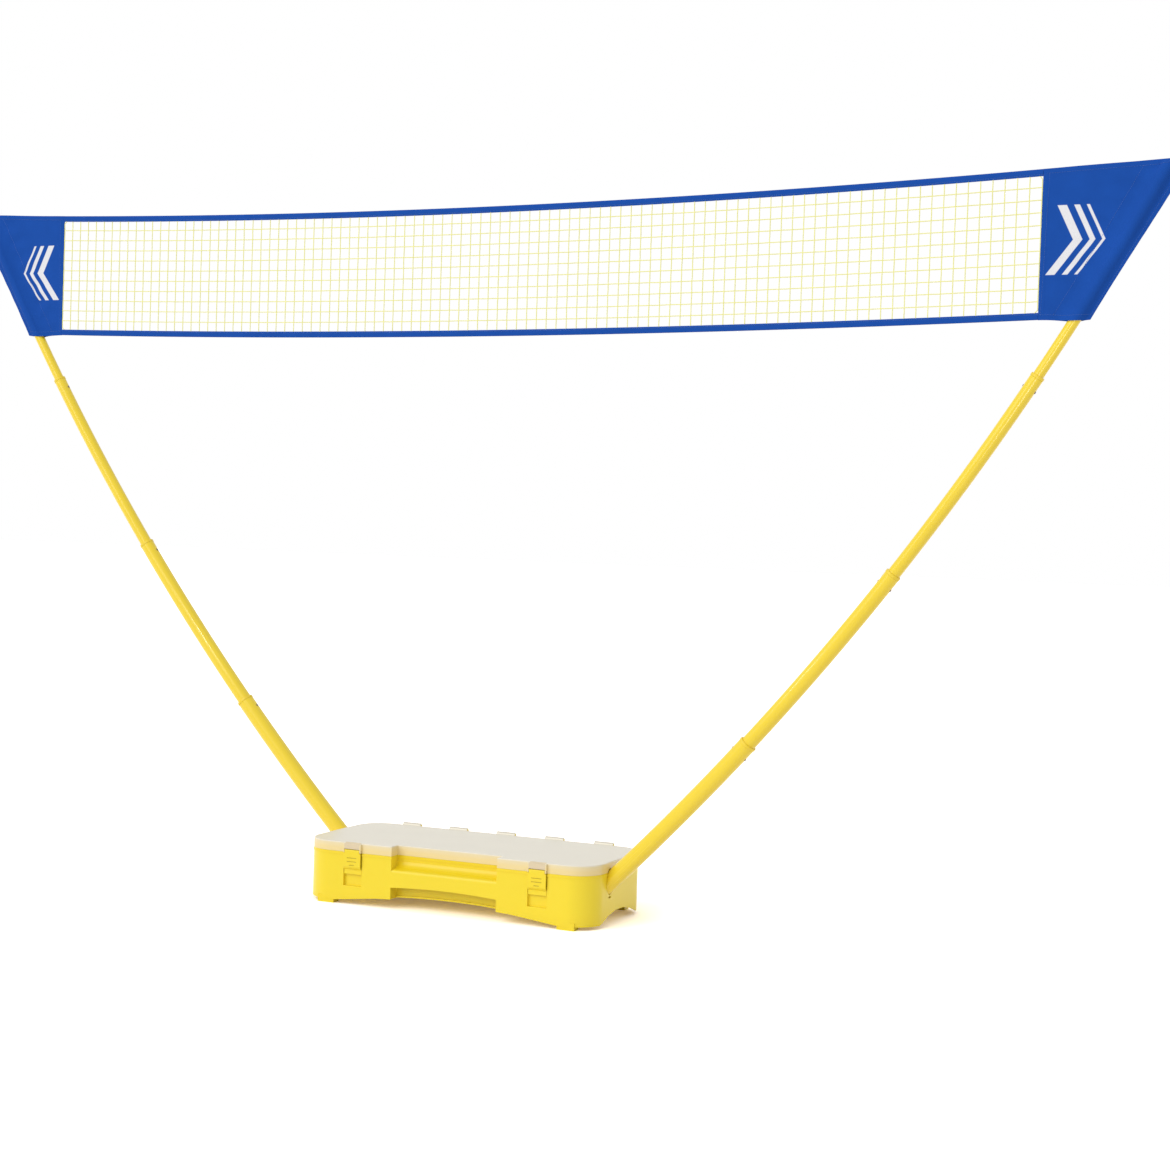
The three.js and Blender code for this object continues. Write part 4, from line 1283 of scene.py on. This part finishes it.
def pocket_tool(name):
    """The hollow inside the pocket, from below the hem to over the pole's tip."""
    steps = 70
    outer_steps = 12
    inner_steps = 26
    outer_share = 0.94
    inner_share = 0.92
    above_collar = 0.06
    past_cap = 0.0015
    least_half = 0.00005
    low = COLLAR_STATIONS[-1] + above_collar
    high = TIP_STATION + CAP_HEIGHT + past_cap
    offsets = [POCKET_FLANK_OUT * outer_share * (j / outer_steps - 1) for j in range(outer_steps)]
    offsets += [POCKET_FLANK_IN * inner_share * j / inner_steps for j in range(inner_steps + 1)]

    def build(work):
        rings = []
        for i in range(steps + 1):
            ring = []
            for way, line in ((1, offsets), (-1, offsets[::-1])):
                for away in line:
                    x, z = beside_bow(low + (high - low) * i / steps, away)
                    half = max(least_half, pocket_half(x, z, 0.0))
                    ring.append(work.verts.new((x, panel_middle(x, z) + way * half, z)))
            rings.append(ring)
        lofted(work, rings)

    return linked(name, mesh_of(name, build))


def panel_object(name):
    """The right panel: two layers in one closed skin, before the pole's pocket is cut."""
    columns = 120
    rows = 84
    rim_slope = 14
    rim_thinning = 0.5
    rim_power = 4

    def layer(work, way):
        grid = []
        for j in range(rows + 1):
            line = []
            for i in range(columns + 1):
                u, v = i / columns, j / rows
                x, z = panel_point(u, v)
                rim = min(1.0, rim_slope * min(u, 1 - u, v, 1 - v))
                half = panel_half(x, z, 1 - (1 - rim) ** rim_power * rim_thinning)
                line.append(work.verts.new((x, panel_middle(x, z) + way * half, z)))
            grid.append(line)
        return grid

    def build(work):
        front, back = [layer(work, way) for way in FACES]
        for grid in (front, back):
            for j in range(rows):
                for i in range(columns):
                    work.faces.new([grid[j][i], grid[j][i + 1], grid[j + 1][i + 1], grid[j + 1][i]])
        for i in range(columns):
            for j in (0, rows):
                work.faces.new([front[j][i], front[j][i + 1], back[j][i + 1], back[j][i]])
        for j in range(rows):
            for i in (0, columns):
                work.faces.new([front[j][i], front[j + 1][i], back[j + 1][i], back[j][i]])

    return linked(name, mesh_of(name, build))


def panel_seams():
    """Stitch lines of the right panel: round its hems and down the pocket's inner flank, on both faces."""
    steps = 60
    inset = 0.009
    above_collar = 0.09
    pocket_length = 0.38
    beside_pocket = 0.001
    hem_ends = (
        ((0.045, 0.035), (0.95, 0.035)),
        ((0.03, 0.968), (0.97, 0.968)),
        ((0.045, 0.035), (0.045, 0.965)),
        ((0.962, 0.035), (0.962, 0.965)),
    )
    shares = [i / steps for i in range(steps + 1)]
    flats = [[panel_point(u + t * (far_u - u), v + t * (far_v - v)) for t in shares]
             for (u, v), (far_u, far_v) in hem_ends]
    start = COLLAR_STATIONS[-1] + above_collar
    flank = [beside_bow(start + t * pocket_length, POCKET_FLANK_IN + beside_pocket) for t in shares]
    flats.append([(x, z) for x, z in flank if bottom_edge(x) + inset < z < top_edge(x) - inset])
    return [[(x, panel_middle(x, z) + way * (panel_half(x, z) + THREAD_PROUD), z) for x, z in flat]
            for way in FACES for flat in flats]


# Operators


class NETSET_OT_case(bpy.types.Operator):
    """Fine surfaces and finishes of the case's base, sockets and lid"""

    bl_idname = "netset.case"
    bl_label = "Dress the case"

    def execute(self, context):
        looks = context.scene.netset_case
        yellow = moulded_case_plastic("moulded yellow", looks.yellow)
        shell = fine_copy("case_base", "base_shell", looks.edge)
        dress(shell, yellow, "case", ["case_base"])
        clear = frosted_lid_plastic("frosted lid", looks)
        lid = fine_copy("case_lid", "lid_shell", looks.lid_edge)
        dress(lid, clear, "lid", ["case_lid"])
        for side in SIDES:
            finish_node(f"socket_{side}", yellow)
        return {"FINISHED"}


class NETSET_OT_latches(bpy.types.Operator):
    """Latch levers and their pins"""

    bl_idname = "netset.latches"
    bl_label = "Dress the latches"

    def execute(self, context):
        looks = context.scene.netset_case
        lever_edge = looks.edge / 2
        pin_edge = looks.edge / 4
        yellow = moulded_case_plastic("latch yellow", looks.yellow)
        steel = sprung_steel("pin steel", context.scene.netset_poles.steel)
        for side in SIDES:
            lever = fine_copy(f"latch_{side}", f"lever_{side}", lever_edge)
            dress(lever, yellow, f"latch_{side}", [f"latch_{side}"])
            pin = fine_copy(f"latch_pin_{side}", f"pin_{side}", pin_edge)
            dress(pin, steel, "lid", [f"latch_pin_{side}"])
        return {"FINISHED"}


class NETSET_OT_poles(bpy.types.Operator):
    """The bowed tubes and the plugs and bushes inside them"""

    bl_idname = "netset.poles"
    bl_label = "Dress the poles"

    def execute(self, context):
        looks = context.scene.netset_poles
        tree = bowed_tube_tree()
        plain = turned_fitting_plastic("bush plastic", looks.fitting)
        gloss = drawn_tube_plastic("tube plastic", looks.yellow)
        for side in SIDES:
            for n in SECTIONS:
                pole_section(side, n, tree, looks, gloss)
            finish_node(f"pole_{side}_foot_plug", plain)
            for n in SLIDING:
                finish_node(f"pole_{side}_guide_{n}", plain)
        return {"FINISHED"}


class NETSET_OT_fittings(bpy.types.Operator):
    """Collars, caps and snap buttons of the poles"""

    bl_idname = "netset.fittings"
    bl_label = "Dress the fittings"

    def execute(self, context):
        looks = context.scene.netset_poles
        plastic = turned_fitting_plastic("fitting plastic", looks.fitting)
        steel = sprung_steel("button steel", looks.steel)
        for side in SIDES:
            pole_cap(side, looks, plastic)
            for n in COLLARED:
                pole_collar(side, n, looks, plastic)
            for n in SLIDING:
                snap_button(side, n, 1, "inner", steel)
                snap_button(side, n, -1, "outer", steel)
        return {"FINISHED"}


class NETSET_OT_net(bpy.types.Operator):
    """The knotted net and its two bands"""

    bl_idname = "netset.net"
    bl_label = "Hang the net"

    def execute(self, context):
        looks = context.scene.netset_net
        cord = twisted_twine("net twine", looks.cord)
        cloth = woven_cloth("band cloth", looks.cloth)
        thread = sewing_thread("band thread", looks.thread)
        dress(net_object("knotted_net", looks, cord), cord, "case", ["net_mesh"])
        for label, edge, way in (("top", top_edge, -1), ("bottom", bottom_edge, 1)):
            band = band_object(f"{label}_band", edge, way)
            dress(band, cloth, "case", [f"net_{label}_band"])
            seam = stitched(f"{label}_band_seam", band_seams(edge, way), looks, thread)
        return {"FINISHED"}


class NETSET_OT_panels(bpy.types.Operator):
    """The fabric end panels with their pole pockets, print and stitching"""

    bl_idname = "netset.panels"
    bl_label = "Sew the panels"

    def execute(self, context):
        looks = context.scene.netset_net
        cloth = woven_cloth("panel cloth", looks.cloth, looks.printed)
        thread = sewing_thread("panel thread", looks.thread)
        seams = panel_seams()
        for side in SIDES:
            place = Matrix.Translation((0, middle_y, 0)) @ half_turn(side)
            panel = panel_object(f"panel_{side}")
            hollowed(panel, pocket_tool("pocket"))
            panel.data.transform(place)
            smoothed(panel, CLOTH_CREASE)
            dress(panel, cloth, "case", [f"net_panel_{side}"])
            lines = [[tuple(place @ Vector(point)) for point in line] for line in seams]
            seam = stitched(f"panel_seam_{side}", lines, looks, thread)
        return {"FINISHED"}


class NETSET_OT_stage(bpy.types.Operator):
    """Camera, lamps, floor and white surroundings"""

    bl_idname = "netset.stage"
    bl_label = "Set the stage"

    def execute(self, context):
        scene = context.scene
        looks = scene.netset_stage
        self.camera(scene, looks)
        self.surroundings(scene, looks.sky)
        self.lamps(looks)
        self.floor(looks)
        scene.view_settings.view_transform = "Standard"
        return {"FINISHED"}

    def camera(self, scene, looks):
        """A camera where the photograph was taken from."""
        sensor_width = 36.0
        ahead = Vector((-math.sin(looks.yaw), math.cos(looks.yaw), 0))
        level = Vector((math.cos(looks.yaw), math.sin(looks.yaw), 0))
        forward = ahead * math.cos(looks.pitch) + Vector((0, 0, math.sin(looks.pitch)))
        upright = level.cross(forward)
        right = level * math.cos(looks.roll) + upright * math.sin(looks.roll)
        up = upright * math.cos(looks.roll) - level * math.sin(looks.roll)
        data = bpy.data.cameras.new("camera")
        data.sensor_width = sensor_width
        data.angle = looks.view_angle
        camera = linked("camera", data)
        turn = Matrix((right, up, -forward)).transposed().to_4x4()
        camera.matrix_world = Matrix.Translation(looks.eye) @ turn
        scene.camera = camera

    def surroundings(self, scene, sky):
        """Even light from all round, white where it is seen."""
        world = bpy.data.worlds.new("white room")
        world.use_nodes = True
        world.node_tree.nodes.clear()
        start = Flow(world.node_tree)
        seen = bright_to_the_eye(start)
        strength = seen + (1 - seen) * sky
        light = start.node("ShaderNodeBackground", (), {"Color": (1, 1, 1, 1), "Strength": strength})
        start.node("ShaderNodeOutputWorld", (), {"Surface": light})
        scene.world = world

    def lamps(self, looks):
        """A broad key lamp from the front left, and two soft boxes that gloss the grip and a pole."""
        key_spread = math.radians(48)
        key_way = Vector((-0.5, -1.0, 0.75))
        glint_size = (0.1, 0.1)
        grip = Vector((0.03, case_low.y, 0.085))
        grip_way = Vector((-0.44, -0.54, 0.705))
        streak_size = (0.25, 0.6)
        top_section = Vector((1.25, -pole_offset, 1.2))
        top_way = Vector((0.2, -0.96, -0.17))
        sun = bpy.data.lights.new("key", "SUN")
        sun.energy = looks.key
        sun.angle = key_spread
        linked("key", sun).matrix_world = self.turned_to(key_way)
        self.soft_box("glint", looks.glint, glint_size, grip, grip_way)
        self.soft_box("streak", looks.streak, streak_size, top_section, top_way)

    def turned_to(self, way):
        """Turn of a lamp that shines from that way."""
        return way.to_track_quat("Z", "Y").to_matrix().to_4x4()

    def soft_box(self, name, power, size, target, way):
        """A soft box that shines on a target from that way and only shows as gloss."""
        distance = 1.5
        data = bpy.data.lights.new(name, "AREA")
        data.energy = power
        data.shape = "RECTANGLE"
        data.size, data.size_y = size
        lamp = linked(name, data)
        lamp.visible_camera = False
        lamp.visible_diffuse = False
        lamp.matrix_world = Matrix.Translation(target + distance * way.normalized()) @ self.turned_to(way)

    def floor(self, looks):
        """A wide floor under the feet."""
        reach = 40.0
        corners = [(-reach, -reach, 0), (reach, -reach, 0), (reach, reach, 0), (-reach, reach, 0)]
        mesh = mesh_of("floor", lambda work: work.faces.new([work.verts.new(corner) for corner in corners]))
        floor = linked("floor", mesh)
        floor.data.materials.append(pale_floor("pale floor", looks))


class NETSET_PT_sidebar(bpy.types.Panel):
    """Lists the steps in the sidebar"""

    bl_idname = "NETSET_PT_sidebar"
    bl_label = "Net Set"
    bl_space_type = "VIEW_3D"
    bl_region_type = "UI"
    bl_category = "Net Set"

    def draw(self, context):
        for operator in OPERATORS:
            self.layout.operator(operator.bl_idname)


PROPERTIES = {
    "netset_case": CaseLooks,
    "netset_poles": PoleLooks,
    "netset_net": NetLooks,
    "netset_stage": StageLooks,
}
OPERATORS = (
    NETSET_OT_stage,
    NETSET_OT_case,
    NETSET_OT_latches,
    NETSET_OT_poles,
    NETSET_OT_fittings,
    NETSET_OT_net,
    NETSET_OT_panels,
)


def register():
    """Registers the properties, operators and panel."""
    for made in (*PROPERTIES.values(), *OPERATORS, NETSET_PT_sidebar):
        bpy.utils.register_class(made)
    for name, group in PROPERTIES.items():
        setattr(bpy.types.Scene, name, bpy.props.PointerProperty(type=group))


def unregister():
    """Undoes register."""
    for name in PROPERTIES:
        delattr(bpy.types.Scene, name)
    for made in reversed((*PROPERTIES.values(), *OPERATORS, NETSET_PT_sidebar)):
        bpy.utils.unregister_class(made)


def main():
    """Builds the whole scene."""
    register()
    bpy.ops.netset.stage()
    bpy.ops.netset.case()
    bpy.ops.netset.latches()
    bpy.ops.netset.poles()
    bpy.ops.netset.fittings()
    bpy.ops.netset.net()
    bpy.ops.netset.panels()


if __name__ == "__main__":
    main()
